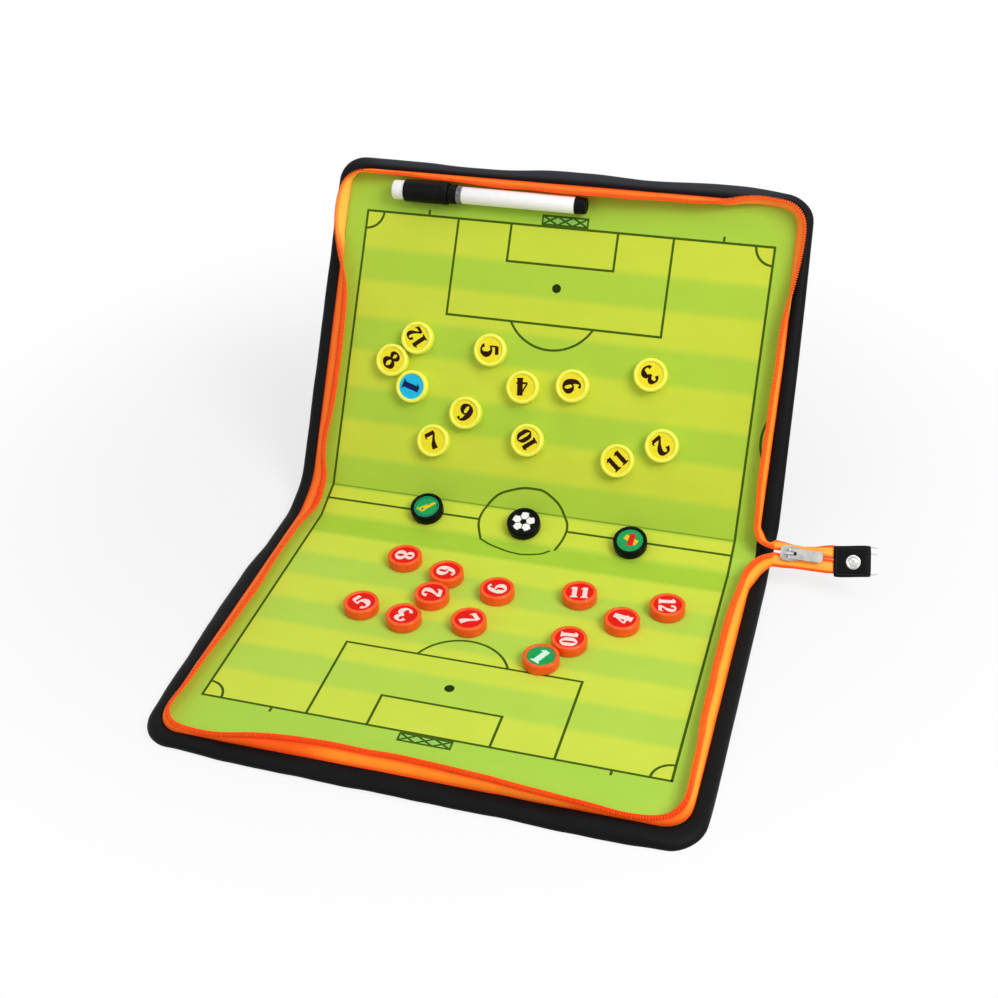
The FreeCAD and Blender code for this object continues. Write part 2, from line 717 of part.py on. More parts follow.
def marker():
    """The board marker, drawn from its eraser end along its own axis."""
    bore = "(Dims.barrel_radius + Dims.pen_fit)"
    floor = "(Dims.eraser_length + Dims.cap_roof)"
    magnet_end = f"({floor} + Dims.cap_magnet_depth)"
    pen_piece("pen_eraser", [
        ("0", "0"),
        ("0", "Dims.eraser_radius"),
        ("Dims.eraser_length", "Dims.eraser_radius"),
        ("Dims.eraser_length", "0"),
    ])
    pen_piece("pen_cap", [
        ("Dims.eraser_length", "0"),
        ("Dims.eraser_length", "Dims.cap_radius"),
        (CAP_END, "Dims.cap_radius"),
        (CAP_END, bore),
        (floor, bore),
        (floor, "0"),
    ])
    pen_piece("pen_cap_magnet", [
        (floor, "0"),
        (floor, "Dims.barrel_radius"),
        (magnet_end, "Dims.barrel_radius"),
        (magnet_end, "0"),
    ])
    pen_piece("pen_nib", [
        (f"{GRIP_START} - Dims.nib_show", "0"),
        (f"{GRIP_START} - Dims.nib_show", "Dims.nib_radius"),
        (f"{GRIP_START} + Dims.nib_seat", "Dims.nib_radius"),
        (f"{GRIP_START} + Dims.nib_seat", "0"),
    ])
    pen_piece("pen_grip", [
        (GRIP_START, "Dims.nib_radius"),
        (GRIP_START, "Dims.barrel_radius"),
        (f"{CAP_END} + Dims.pen_fit", "Dims.barrel_radius"),
        (f"{CAP_END} + Dims.pen_fit", "Dims.grip_radius"),
        (BARREL_START, "Dims.grip_radius"),
        (BARREL_START, SPIGOT),
        (f"{BARREL_START} + Dims.spigot_length", SPIGOT),
        (f"{BARREL_START} + Dims.spigot_length", "0"),
        (f"{GRIP_START} + Dims.nib_seat", "0"),
        (f"{GRIP_START} + Dims.nib_seat", "Dims.nib_radius"),
    ])
    pen_piece("pen_barrel", [
        (BARREL_START, "Dims.barrel_bore"),
        (BARREL_START, "Dims.barrel_radius"),
        (BARREL_END, "Dims.barrel_radius"),
        (BARREL_END, "Dims.barrel_bore"),
    ])
    pen_piece("pen_reservoir", [
        (f"{BARREL_START} + Dims.spigot_length", "0"),
        (f"{BARREL_START} + Dims.spigot_length", SPIGOT),
        (f"{BARREL_END} - Dims.spigot_length", SPIGOT),
        (f"{BARREL_END} - Dims.spigot_length", "0"),
    ])
    pen_piece("pen_end_plug", [
        (f"{BARREL_END} - Dims.spigot_length", "0"),
        (f"{BARREL_END} - Dims.spigot_length", SPIGOT),
        (BARREL_END, SPIGOT),
        (BARREL_END, "Dims.barrel_radius"),
        (f"{BARREL_END} + Dims.plug_length", "Dims.barrel_radius"),
        (f"{BARREL_END} + Dims.plug_length", "0"),
    ])


def prism(name, radius, height, lift="0"):
    piece = doc.addObject("Part::Prism", name)
    piece.Polygon = TOKEN_SIDES
    piece.setExpression("Circumradius", radius)
    piece.setExpression("Height", height)
    piece.setExpression("Placement.Base.z", lift)
    return piece


def block(name, side, height):
    piece = doc.addObject("Part::Box", name)
    piece.setExpression("Length", side)
    piece.setExpression("Width", side)
    piece.setExpression("Height", height)
    piece.setExpression("Placement.Base.x", f"-({side}) / 2")
    piece.setExpression("Placement.Base.y", f"-({side}) / 2")
    return piece


def cut(name, base, tool):
    piece = doc.addObject("Part::Cut", name)
    piece.Base = base
    piece.Tool = tool
    return piece


def counters():
    """One cup with its label recess and its block magnet, set out as all the counters."""
    disc = prism("token_disc", "Dims.token_diameter / 2", "Dims.token_height")
    floor = "Dims.token_height - Dims.label_depth"
    recess = prism("label_recess", "Dims.label_diameter / 2", "Dims.label_depth", floor)
    slot = block("magnet_slot", "Dims.magnet_side + 2 * Dims.tape_fit", "Dims.magnet_depth")
    cup = cut("token_cup", cut("token_dish", disc, recess), slot)
    magnet = block("token_magnet", "Dims.magnet_side", "Dims.magnet_depth")
    places = {}
    for frame, shares in (("upper", UPPER_TOKEN_SHARES), ("lower", LOWER_TOKEN_SHARES)):
        sign = "-" if frame == "lower" else ""
        for name, (across, along) in shares.items():
            x = f"{sign}({across} * Dims.leaf_width)"
            places[name] = (frame, x, f"{along} * Dims.leaf_length")
    for name, (neighbour, across, along) in BESIDE_TOKEN_SHARES.items():
        frame, x, y = places[neighbour]
        step = "(Dims.token_diameter + Dims.token_gap)"
        sign = "-" if frame == "lower" else ""
        places[name] = (frame, f"{x} + {sign}({across} * {step})", f"{y} + ({along} * {step})")
    for name, (across, play) in SPINE_TOKEN_SHARES.items():
        y = f"Dims.spine_width / 2 + {play} * (Dims.spine_width - Dims.token_diameter)"
        places[name] = ("spine", f"{across} * Dims.leaf_width", y)
    for name, (frame, x, y) in sorted(places.items()):
        token = doc.addObject("Part::Compound", f"token_{name}")
        token.Links = [cup, magnet]
        seat(token, frame, x, y, "Dims.token_float")
        keep(token, f"token_{name}")


leaf("lower")
leaf("upper")
spine()
tail_anchor()
tail_band()
tail_tab()
slider()
pull()
marker()
counters()
doc.recompute()

os.makedirs("parts", exist_ok=True)
for item in doc.Objects:
    if "Invalid" in item.State or "Error" in item.State:
        raise RuntimeError(f"{item.Label} did not build: {item.State}")
for name, piece in NODES.items():
    shape = piece.Shape
    if shape.isNull() or not shape.isValid() or not shape.Solids:
        raise RuntimeError(f"{name} has no sound solid")
    shape.exportStep(f"parts/{name}.step")
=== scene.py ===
import math
import bpy
import numpy as np
from mathutils import Matrix, Vector


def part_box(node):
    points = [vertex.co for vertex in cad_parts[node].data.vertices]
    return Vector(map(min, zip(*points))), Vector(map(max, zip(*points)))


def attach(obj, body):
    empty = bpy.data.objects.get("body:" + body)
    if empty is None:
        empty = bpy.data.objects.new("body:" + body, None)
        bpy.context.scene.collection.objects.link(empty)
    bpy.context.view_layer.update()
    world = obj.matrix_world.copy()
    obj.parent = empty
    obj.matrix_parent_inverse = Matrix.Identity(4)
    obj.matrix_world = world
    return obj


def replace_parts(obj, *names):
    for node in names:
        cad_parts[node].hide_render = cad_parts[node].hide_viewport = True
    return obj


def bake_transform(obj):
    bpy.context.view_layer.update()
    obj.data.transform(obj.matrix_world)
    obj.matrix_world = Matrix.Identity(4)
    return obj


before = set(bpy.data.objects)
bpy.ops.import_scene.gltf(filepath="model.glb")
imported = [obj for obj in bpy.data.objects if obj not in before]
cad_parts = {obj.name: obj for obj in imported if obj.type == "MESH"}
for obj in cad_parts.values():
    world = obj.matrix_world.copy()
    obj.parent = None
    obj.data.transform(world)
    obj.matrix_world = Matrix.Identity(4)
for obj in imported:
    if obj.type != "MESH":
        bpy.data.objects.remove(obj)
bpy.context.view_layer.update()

# Tactics board. Sizes are in millimetres in the frame of the CAD model. A spot on the open folder is
# given by u, across it, s, along it from the lower crease, and h, above the printed film: s is below
# zero on the lower leaf, from 0 to SPINE on the spine and beyond SPINE on the upper leaf.
MM = 0.001
HALF, LEAF, SPINE, STACK, CORNER = 159.0, 221.0, 26.0, 6.3, 18.0
MIDDLE = SPINE / 2
LOW_TILT, HIGH_TILT, TAIL_TILT = math.radians(20.3), math.radians(55.9), math.radians(52)
WAYS = [np.array((math.cos(tilt), math.sin(tilt))) for tilt in (0, LOW_TILT, HIGH_TILT)]
LOW_CREASE = np.array((110.5, STACK))
HIGH_CREASE = LOW_CREASE + SPINE * WAYS[1]
CREASES = ((0.0, LOW_CREASE), (SPINE, HIGH_CREASE))
# How far from each crease the film and the cover start to bend.
FILM_BEND, COVER_BEND = (0.7, 0.9), (6.0, 10.0)
HALVES = {"lower": ("lower_leaf", "spine"), "upper": ("spine", "upper_leaf")}


def listed(text):
    """Rows of numbers from a table in text, with commas between the rows."""
    return [tuple(float(number) for number in row.split()) for row in text.split(",")]


def unit(rows):
    """A direction, or rows of them, at length one."""
    return rows / np.linalg.norm(rows, axis=-1, keepdims=True)


def limited(value):
    return min(1.0, max(0.0, value))


# ---- frames ----
def fold(u, s, h, bend=COVER_BEND):
    """The place in the row frame of a spot on the folded sheet, whose creases are rounded."""
    spot, way = LOW_CREASE + s * WAYS[0], WAYS[0]
    for (place, crease), before, after, reach in zip(CREASES, WAYS, WAYS[1:], bend):
        past = s - place
        if past >= reach:
            spot, way = crease + past * after, after
        elif past > -reach:
            t = (past + reach) / (2 * reach)
            first, last = crease - reach * before, crease + reach * after
            spot = (1 - t) ** 2 * first + 2 * t * (1 - t) * crease + t * t * last
            way = (1 - t) * before + t * after
    way = unit(way)
    return np.array((u, spot[0] - h * way[1], spot[1] + h * way[0]))


def mirrored(half, s):
    """A place along the folder as the lower half would have it, or back."""
    return s if half == "lower" else SPINE - s


def turned(origin, tilt):
    """A frame whose X is the row's X and whose Y rises by the tilt."""
    return Matrix.Translation(Vector(origin)) @ Matrix.Rotation(tilt, 4, "X")


LEAF_FRAMES = {
    "lower": turned((0, *LOW_CREASE), 0),
    "spine": turned((0, *LOW_CREASE), LOW_TILT),
    "upper": turned((0, *HIGH_CREASE), HIGH_TILT),
}
TAIL = LEAF_FRAMES["spine"] @ Vector((160, 15, 12))
TAIL_FRAME = turned(TAIL, TAIL_TILT)


def seated(spots, place):
    return [tuple(place @ Vector(spot)) for spot in spots]


# ---- meshes ----
def build(name, spots, faces, *materials, kinds=None, uvs=None, sharp=40):
    """A smooth mesh from spots in millimetres; kinds gives the material of each face, uvs one pair per spot."""
    mesh = bpy.data.meshes.new(name)
    mesh.from_pydata([tuple(float(c) * MM for c in spot) for spot in spots], [], faces)
    for material in materials:
        mesh.materials.append(material)
    if kinds is not None:
        mesh.polygons.foreach_set("material_index", kinds)
    if uvs is not None:
        layer = mesh.uv_layers.new(name="UVMap")
        order = np.zeros(len(mesh.loops), int)
        mesh.loops.foreach_get("vertex_index", order)
        layer.data.foreach_set("uv", np.asarray(uvs, np.float32)[order].ravel())
    mesh.shade_smooth()
    mesh.set_sharp_from_angle(angle=math.radians(sharp))
    piece = bpy.data.objects.new(name, mesh)
    bpy.context.scene.collection.objects.link(piece)
    return piece


def fixed(piece, slot, body, *nodes):
    """Lets a piece ride on one body, in place of the CAD nodes named."""
    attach(piece, body)
    if nodes:
        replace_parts(piece, *nodes)


def across(piece):
    """Bakes a piece's transform into its mesh; its shape already follows the crease of its half."""
    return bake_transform(piece)


def quads(rows, columns, ring=False, flip=False, start=0):
    """Faces of a grid stored row by row; a ring joins the last column to the first."""
    faces = []
    for i in range(start, start + (rows - 1) * columns, columns):
        for j in range(columns if ring else columns - 1):
            k = (j + 1) % columns
            face = [i + j, i + k, i + columns + k, i + columns + j]
            faces.append(face[::-1] if flip else face)
    return faces


def polar(*rows, centre=(0, 0)):
    """Flat spots from rows of a radius and an angle in degrees."""
    return [(centre[0] + r * math.cos(math.radians(a)), centre[1] + r * math.sin(math.radians(a))) for r, a in rows]


def circle(radius, count, centre=(0, 0)):
    return polar(*[(radius, 360 * k / count) for k in range(count)], centre=centre)


def lathe(profile, count=48):
    """Spots and faces of a profile of (radius, height) turned about Z, closed where the radius is zero."""
    spots, rings = [], []
    for radius, height in profile:
        ring = circle(radius, count if radius else 1)
        rings.append([len(spots) + j % len(ring) for j in range(count + 1)])
        spots += [(x, y, height) for x, y in ring]
    faces = [[low[j], low[j + 1], high[j + 1], high[j]] for low, high in zip(rings, rings[1:]) for j in range(count)]
    return spots, [list(dict.fromkeys(face)) for face in faces]


def smooth_line(points, steps, ring=False):
    """Points along a Catmull-Rom line through rows of numbers."""
    points = np.asarray(points, float)
    if ring:
        before, after = points[-1:], points[:2]
    else:
        before, after = 2 * points[:1] - points[1:2], 2 * points[-1:] - points[-2:-1]
    rows = np.concatenate([before, points, after])
    found = [0.5 * (2 * b + (c - a) * t + (2 * a - 5 * b + 4 * c - d) * t * t + (3 * b - a - 3 * c + d) * t ** 3)
             for a, b, c, d in zip(rows, rows[1:], rows[2:], rows[3:]) for t in np.arange(steps) / steps]
    return np.array(found if ring else found + [points[-1]])


def run_along(line, first=0.0):
    """The distance along a line to each of its points, from its first one's place."""
    return first + np.concatenate([[0], np.cumsum(np.linalg.norm(np.diff(line, axis=0), axis=1))])


def tube(path, radius, sides):
    """Spots and faces of a tube that follows a path, closed at its ends."""
    path = np.asarray(path, float)
    ways = unit(np.gradient(path, axis=0))
    side = np.cross(ways[0], (0.31, 0.22, 0.92))
    ring = circle(radius, sides)
    spots = []
    for spot, way in zip(path, ways):
        side = unit(side - way * side.dot(way))
        other = np.cross(way, side)
        spots += [spot + x * side + y * other for x, y in ring]
    ends = [list(range(sides))[::-1], list(range(len(spots) - sides, len(spots)))]
    return spots, quads(len(path), sides, ring=True) + ends


def fan(outline, high):
    centre = np.mean(np.array(outline), axis=0)
    count = len(outline)
    return [(*spot, high) for spot in (centre, *outline)], [[0, 1 + i, 1 + (i + 1) % count] for i in range(count)]


def joined(*pieces):
    """Several lots of spots and faces as one."""
    spots, faces = [], []
    for some, more in pieces:
        faces += [[index + len(spots) for index in face] for face in more]
        spots += list(some)
    return spots, faces


def mixed(lots):
    """Lots of (kind, mesh) as one mesh, with the kind of each face."""
    spots, faces = joined(*[mesh for kind, mesh in lots])
    return spots, faces, [kind for kind, (some, more) in lots for _ in more]


# ---- materials ----
NONE, FULL = (0, 0, 0), (1, 1, 1)


def srgb(*levels):
    shares = [level / 255 for level in levels]
    return (*[c / 12.92 if c <= 0.04045 else ((c + 0.055) / 1.055) ** 2.4 for c in shares], 1.0)


def toned(text):
    """Colour stops from rows of a place and three sRGB levels."""
    return [(place, srgb(*levels)) for place, *levels in listed(text)]


def add_node(tree, kind, sockets=None, **settings):
    """A shader node with its settings, and with a number or a link at each socket named."""
    node = tree.nodes.new("ShaderNode" + kind)
    for key, value in settings.items():
        setattr(node, key, value)
    for key, value in (sockets or {}).items():
        if isinstance(value, (int, float, tuple)):
            node.inputs[key].default_value = value
        else:
            tree.links.new(value, node.inputs[key])
    return node


class Paint:
    """A node material round one Principled shader."""

    def __init__(self, name, **settings):
        self.material = bpy.data.materials.new(name)
        self.material.use_nodes = True
        self.tree = self.material.node_tree
        self.tree.nodes.clear()
        self.shader = self.node("BsdfPrincipled", {key.replace("_", " "): value for key, value in settings.items()})
        self.output = self.node("OutputMaterial", {0: self.shader.outputs[0]})

    def node(self, kind, sockets=None, **settings):
        return add_node(self.tree, kind, sockets, **settings)

    def coords(self, kind="Object"):
        return self.node("TexCoord").outputs[kind]

    def split(self, where):
        return self.node("SeparateXYZ", {0: where}).outputs[:2]

    def noise(self, where, scale, detail=3.0, rough=0.5):
        sockets = {"Vector": where, "Scale": scale, "Detail": detail, "Roughness": rough}
        return self.node("TexNoise", sockets).outputs["Fac"]

    def ramp(self, source, *stops, ease="LINEAR"):
        node = self.node("ValToRGB", {"Fac": source})
        node.color_ramp.interpolation = ease
        elements = node.color_ramp.elements
        while len(elements) < len(stops):
            elements.new(0.5)
        for element, (place, colour) in zip(elements, stops):
            element.position = place
        for element, (place, colour) in zip(elements, stops):
            element.color = colour if len(colour) == 4 else (*colour, 1)
        return node.outputs["Color"]

    def clouds(self, source, low, high):
        """Two colours by the height of a noise."""
        return self.ramp(source, (0.3, low), (0.7, high))

    def math(self, kind, *values):
        return self.node("Math", dict(enumerate(values)), operation=kind).outputs[0]

    def mix(self, share, first, second, kind="MIX"):
        return self.node("Mix", {0: share, 6: first, 7: second}, data_type="RGBA", blend_type=kind).outputs[2]

    def times(self, first, second):
        return self.mix(1.0, first, second, "MULTIPLY")

    def done(self, tone, rough=None, bump=None):
        """The material: its colour, a roughness (source, low, high) and a bump (source, strength, distance)."""
        ends = {"Base Color": tone}
        if rough:
            ends["Roughness"] = self.node("MapRange", dict(zip(("Value", "To Min", "To Max"), rough))).outputs[0]
        if bump:
            ends["Normal"] = self.node("Bump", dict(zip(("Height", "Strength", "Distance"), bump))).outputs[0]
        for socket, source in ends.items():
            self.tree.links.new(source, self.shader.inputs[socket])
        return self.material


def cover_paint(name, where, pale=None):
    """Soft black PU with a fine pebble grain; where is UV, in centimetres, or Object, in metres.

    A painted sheen makes the border's top paler where the tones in pale say so, by place along it in metres."""
    paint = Paint(name, Specular_IOR_Level=0.1)
    spot = paint.coords(where)
    scale = 1.0 if where == "UV" else 100.0
    pebbles = paint.node("TexVoronoi", {"Vector": spot, "Scale": 11 * scale}, feature="DISTANCE_TO_EDGE")
    broad = paint.noise(spot, 0.35 * scale, 4)
    fine = paint.noise(spot, 26 * scale, 2)
    tone = paint.clouds(broad, srgb(5, 5, 6), srgb(11, 11, 13))
    if pale:
        along_it, across_it = paint.split(spot)
        along_it = paint.ramp(paint.math("MULTIPLY", along_it, 0.01), *pale, ease="EASE")
        on_top = (0.22, NONE), (0.36, FULL), (0.7, FULL), (0.9, NONE)
        across_it = paint.ramp(paint.math("MULTIPLY", across_it, 0.5), *on_top)
        tone = paint.mix(1.0, tone, paint.times(along_it, across_it), "ADD")
    grain = paint.math("MINIMUM", pebbles.outputs["Distance"], 0.12)
    height = paint.math("ADD", grain, paint.math("MULTIPLY", fine, 0.06))
    return paint.done(tone, (broad, 0.46, 0.62), (height, 0.28, 0.0006))


# Tones across the tape from its foot to its coil, darker at the foot with painted shade; and tints along it in metres,
# which paint the tape's light and shade: deeper and redder where it faces away from the key light, yellower where lit.
OUTER_TONES = toned("0 226 70 14, 0.12 250 128 30, 0.26 255 176 54, 0.52 255 180 58, "
                    "0.64 255 140 34, 0.72 222 70 12, 0.8 244 96 22, 1 248 106 28")
INNER_TONES = toned("0 252 166 52, 0.2 255 206 92, 0.7 255 202 88, 0.84 250 146 62, 1 248 150 70")
TAIL_TONES = toned("0 214 66 14, 0.16 234 96 22, 0.26 255 190 78, 0.72 255 206 96, 0.84 250 146 62, 1 226 76 16")
DEEP_SHADE_TINT, SHADE_TINT = (0.94, 0.26, 0.2), (1, 0.48, 0.55)
TAPE_SHADE_TINTS = {
    "lower": ((0.0, SHADE_TINT), (0.21, SHADE_TINT), (0.25, DEEP_SHADE_TINT), (0.295, DEEP_SHADE_TINT), (0.325, (1, 0.66, 0.5)),
              (0.43, (1, 0.62, 0.46)), (0.465, DEEP_SHADE_TINT), (0.5, DEEP_SHADE_TINT), (0.53, FULL), (0.8, FULL)),
    "upper": ((0.0, SHADE_TINT), (0.16, SHADE_TINT), (0.18, FULL), (0.222, FULL), (0.25, SHADE_TINT), (0.57, SHADE_TINT),
              (0.62, (1, 0.8, 0.8)), (0.8, (1, 0.84, 0.8))),
    "tail": ((0.0, (1, 0.9, 0.8)), (0.02, (1, 0.86, 0.76))),
}
# The coils' tints along them are painted shade: deeper on the left side and redder along the front, away from the key
# light.
COIL_SIDE_SHADE, COIL_FRONT_SHADE = (1, 0.8, 0.8), (0.95, 0.5, 0.4)
COIL_SHADE_TINTS = {
    "lower": ((0.0, COIL_SIDE_SHADE), (0.21, COIL_SIDE_SHADE), (0.25, COIL_FRONT_SHADE), (0.5, COIL_FRONT_SHADE), (0.54, FULL)),
    "upper": ((0.0, COIL_SIDE_SHADE), (0.2, FULL), (0.7, FULL)),
    "tail": ((0.0, FULL), (0.05, (1, 0.7, 0.6))),
}


def tape_paint(name, tones, shade_tints):
    """Woven polyester tape. UV runs in centimetres along the tape, and from foot to coil across it."""
    # The emission is a painted glow: it lifts the orange where the tape is in shade.
    paint = Paint(name, Roughness=0.7, Specular_IOR_Level=0.15, Emission_Color=srgb(255, 96, 22),
                  Emission_Strength=0.22)
    place = paint.coords("UV")
    along_it, across_it = paint.split(place)
    weft = paint.math("SINE", paint.math("MULTIPLY", along_it, math.tau * 14))
    warp = paint.math("SINE", paint.math("MULTIPLY", across_it, math.tau * 17))
    # The tints along the tape are painted light and shade.
    painted_shade = paint.ramp(paint.math("MULTIPLY", along_it, 0.01), *shade_tints, ease="EASE")
    tone = paint.times(paint.ramp(across_it, *tones), painted_shade)
    shade = paint.clouds(paint.noise(place, 0.8, 3), (0.92, 0.86, 0.8), FULL)
    tone = paint.mix(0.6, tone, paint.times(tone, shade))
    return paint.done(tone, bump=(paint.math("MULTIPLY", weft, warp), 0.3, 0.0003))


def coil_paint(name, shade_tints):
    # The emission is a faint painted glow that lifts the coil's colour in shade.
    paint = Paint(name, Specular_IOR_Level=0.2, Emission_Color=srgb(255, 90, 20), Emission_Strength=0.06)
    place = paint.coords("UV")
    cloud = paint.noise(place, 3, 2)
    # The tints along the coil are painted shade.
    painted_shade = paint.ramp(paint.math("MULTIPLY", paint.split(place)[0], 0.01), *shade_tints, ease="EASE")
    tone = paint.times(paint.clouds(cloud, srgb(242, 106, 30), srgb(252, 124, 42)), painted_shade)
    return paint.done(tone, (cloud, 0.4, 0.55), (paint.noise(place, 40, 2), 0.1, 0.0002))


def metal_paint():
    paint = Paint("nickel_plate", Metallic=1.0)
    spot = paint.coords()
    cloud = paint.noise(spot, 220, 4)
    # Painted shade: the colour darkens in recesses, by ambient occlusion.
    open_sky = paint.node("AmbientOcclusion", {"Distance": 0.004}, samples=8).outputs["AO"]
    painted_recess_shade = paint.ramp(open_sky, (0.25, (0.12, 0.12, 0.12)), (0.9, FULL))
    tone = paint.times(paint.clouds(cloud, srgb(182, 181, 178), srgb(220, 219, 216)), painted_recess_shade)
    return paint.done(tone, (cloud, 0.12, 0.26), (paint.noise(spot, 1800, 2), 0.06, 0.0001))


def felt_paint():
    paint = Paint("eraser_felt", Roughness=0.95, Sheen_Weight=0.4, Sheen_Roughness=0.6)
    spot = paint.coords()
    tone = paint.clouds(paint.noise(spot, 400, 3), srgb(246, 246, 240), srgb(254, 254, 250))
    return paint.done(tone, bump=(paint.noise(spot, 1600, 5, 0.8), 0.7, 0.0006))


def moulded(name, dark, light, rough=(0.25, 0.38), scale=260, skin=0.05, **settings):
    """Moulded plastic with a slight cloud in its colour and a fine skin."""
    paint = Paint(name, **{"Specular_IOR_Level": 0.35, **settings})
    spot = paint.coords()
    cloud = paint.noise(spot, scale, 3)
    tone = paint.clouds(cloud, srgb(*dark), srgb(*light))
    return paint.done(tone, (cloud, *rough), (paint.noise(spot, 2600, 2), skin, 0.0001) if skin else None)


def inks(**tones):
    """Printing inks by name, each from three sRGB levels of its dark tone and three of its light one."""
    look = dict(rough=(0.4, 0.55), scale=700, skin=0, Specular_IOR_Level=0.06)
    return {name: moulded(name, levels[:3], levels[3:], **look) for name, levels in tones.items()}


TOUCH, LOW_GOAL, HIGH_GOAL, HALFWAY = 135.0, -179.3, 210.1, 14.7
# Width of the film's UV square, and the softness of the stripes' edges and of the goal lines' edges.
FILM_UV, SOFT, CRISP = 320, 2.2, 0.2
# Places along s where the pitch's stripes meet, and its tones: light, dark and the plain margin.
STRIPES = {
    "lower": ((-155, -132, -108, -86, -62, -40, -17.5, 2.5),
              srgb(207, 224, 76), srgb(183, 217, 80), srgb(173, 214, 77)),
    "upper": ((46, 70.5, 92.5, 117.5, 139.5, 164, 185.5),
              srgb(202, 217, 64), srgb(175, 208, 64), srgb(168, 207, 67)),
}
# FOLD_SHADE is painted shade: a dark line along the upper crease.
FOLD_LIGHT, FOLD_DARK, FOLD_SHADE = srgb(203, 219, 66), srgb(170, 208, 62), srgb(98, 138, 18)
UPPER_END = 210


def film_paint(half):
    """Printed film: mown stripes between the touch lines and a plain margin, under a satin skin."""
    paint = Paint(f"pitch_print_{half}", Specular_IOR_Level=0.12)
    place = paint.coords("UV")
    over, up = paint.split(place)
    edges, light, dark, margin = STRIPES[half]
    if half == "lower":
        start, bands = -LEAF, [light, dark] * 3 + [light, FOLD_DARK, FOLD_LIGHT]
        stops = [(LOW_GOAL - CRISP, margin), (LOW_GOAL + CRISP, light)]
    else:
        start, bands = MIDDLE, [dark, light] * 4
        stops = [(23, FOLD_LIGHT), (25.2, dark), (25.6, FOLD_SHADE), (26.3, FOLD_SHADE), (26.7, dark)]
    for edge, before, after in zip(edges, bands, bands[1:]):
        stops += [(edge - SOFT, before), (edge + SOFT, after)]
    if half == "upper":
        stops += [(UPPER_END - CRISP, light), (UPPER_END + CRISP, margin)]
    stripes = paint.ramp(up, *[((s - start) / (LEAF + MIDDLE), colour) for s, colour in stops])
    outside = paint.math("ABSOLUTE", paint.math("SUBTRACT", over, 0.5))
    printed = paint.mix(paint.math("GREATER_THAN", outside, TOUCH / FILM_UV), stripes, margin)
    tone = paint.times(printed, paint.clouds(paint.noise(place, 14, 4), (0.955, 0.965, 0.93), FULL))
    skin = paint.noise(place, 420, 2)
    return paint.done(tone, (skin, 0.36, 0.48), (skin, 0.05, 0.0002))


# A painted sheen: the grey that lightens the top of the upper cover's border.
PAINTED_SHEEN = srgb(44, 47, 51)
COVERS = {
    "lower": cover_paint("black_pu", "UV"),
    "upper": cover_paint("black_pu_painted_sheen", "UV", ((0.222, NONE), (0.262, PAINTED_SHEEN), (0.5, PAINTED_SHEEN), (0.548, NONE))),
}
TAB_PU = cover_paint("black_pu_tab", "Object")
CLOTHS = {half: [tape_paint(f"zip_tape_{half}_{face}", tones, TAPE_SHADE_TINTS[half])
                 for face, tones in (("weave", OUTER_TONES), ("back", INNER_TONES))] for half in HALVES}
CLOTHS["tail"] = [tape_paint("zip_tape_tail_weave", TAIL_TONES, TAPE_SHADE_TINTS["tail"])] * 2
COILS = {half: coil_paint(f"zip_coil_{half}_nylon", shade_tints) for half, shade_tints in COIL_SHADE_TINTS.items()}
METAL = metal_paint()
FELT = felt_paint()
WHITE_PLASTIC = moulded("pen_white_plastic", (248, 246, 248), (254, 253, 254))
BLACK_PLASTIC = moulded("pen_black_plastic", (10, 10, 11), (17, 17, 18), (0.32, 0.45), Specular_IOR_Level=0.07)
CLEAR_PLASTIC = moulded("pen_clear_ring", (84, 84, 88), (140, 140, 146), (0.14, 0.24))
CUPS = {
    "yellow": moulded("counter_yellow_plastic", (244, 242, 76), (251, 250, 100)),
    "red": moulded("counter_red_plastic", (249, 82, 20), (255, 102, 36)),
    "black": moulded("counter_black_plastic", (6, 6, 7), (12, 12, 13), (0.2, 0.32), Specular_IOR_Level=0.06),
}
INKS = inks(
    pitch_line_ink=(58, 84, 10, 70, 98, 16), pitch_spot_ink=(26, 42, 4, 36, 54, 8),
    goal_net_fill=(140, 200, 92, 152, 210, 104),
    label_yellow=(237, 220, 38, 245, 231, 54), label_cyan=(22, 178, 228, 44, 194, 240),
    label_red=(222, 24, 22, 236, 34, 30), label_green=(20, 150, 78, 40, 170, 94), label_black=(10, 10, 11, 20, 20, 22),
    ink_brown=(38, 15, 4, 50, 21, 7), ink_navy=(14, 26, 74, 24, 38, 92), ink_white=(244, 240, 238, 252, 250, 248),
    ink_blush=(246, 214, 212, 253, 230, 228), ink_pale=(206, 240, 222, 222, 250, 234),
    ink_teal=(16, 110, 96, 26, 128, 110), ink_gold=(214, 190, 30, 234, 210, 50),
    ink_scarlet=(206, 30, 22, 226, 44, 32), ink_black=(8, 8, 9, 16, 16, 17),
)
IRON = moulded("iron_sheet_grey", (98, 100, 102), (126, 128, 130), (0.3, 0.5), Metallic=0.9)
BOARD = moulded("grey_board", (132, 126, 116), (156, 150, 138), (0.8, 0.95), 120)
MAGNET = moulded("magnet_ferrite", (44, 44, 46), (62, 62, 64), (0.45, 0.65), 500)
INK_FELT = moulded("nib_fibre", (14, 14, 16), (30, 30, 32), (0.8, 0.95), 900)
THREAD = moulded("black_thread", (26, 26, 28), (44, 44, 46), (0.6, 0.8), 1500)


# ---- the folder's outline ----
SIDE_STEPS = [MIDDLE - 1.3 * i for i in range(21)] + [-13.0 - 6.0 * i for i in range(1, 32)]
SIDE_STEPS = [s for s in SIDE_STEPS if s > CORNER - LEAF + 2]
FRONT_STEPS = np.linspace(-1, 1, 61)[1:-1]
# Up to KEPT_STEPS from its crease the outline keeps its steps when it is moved in.
KEPT_STEPS = 60.0
# How much of an inset the inner corners keep as a tighter bend; the rest makes them rounder.
CORNER_LOSS = {"lower": 0.3, "upper": 0.6}


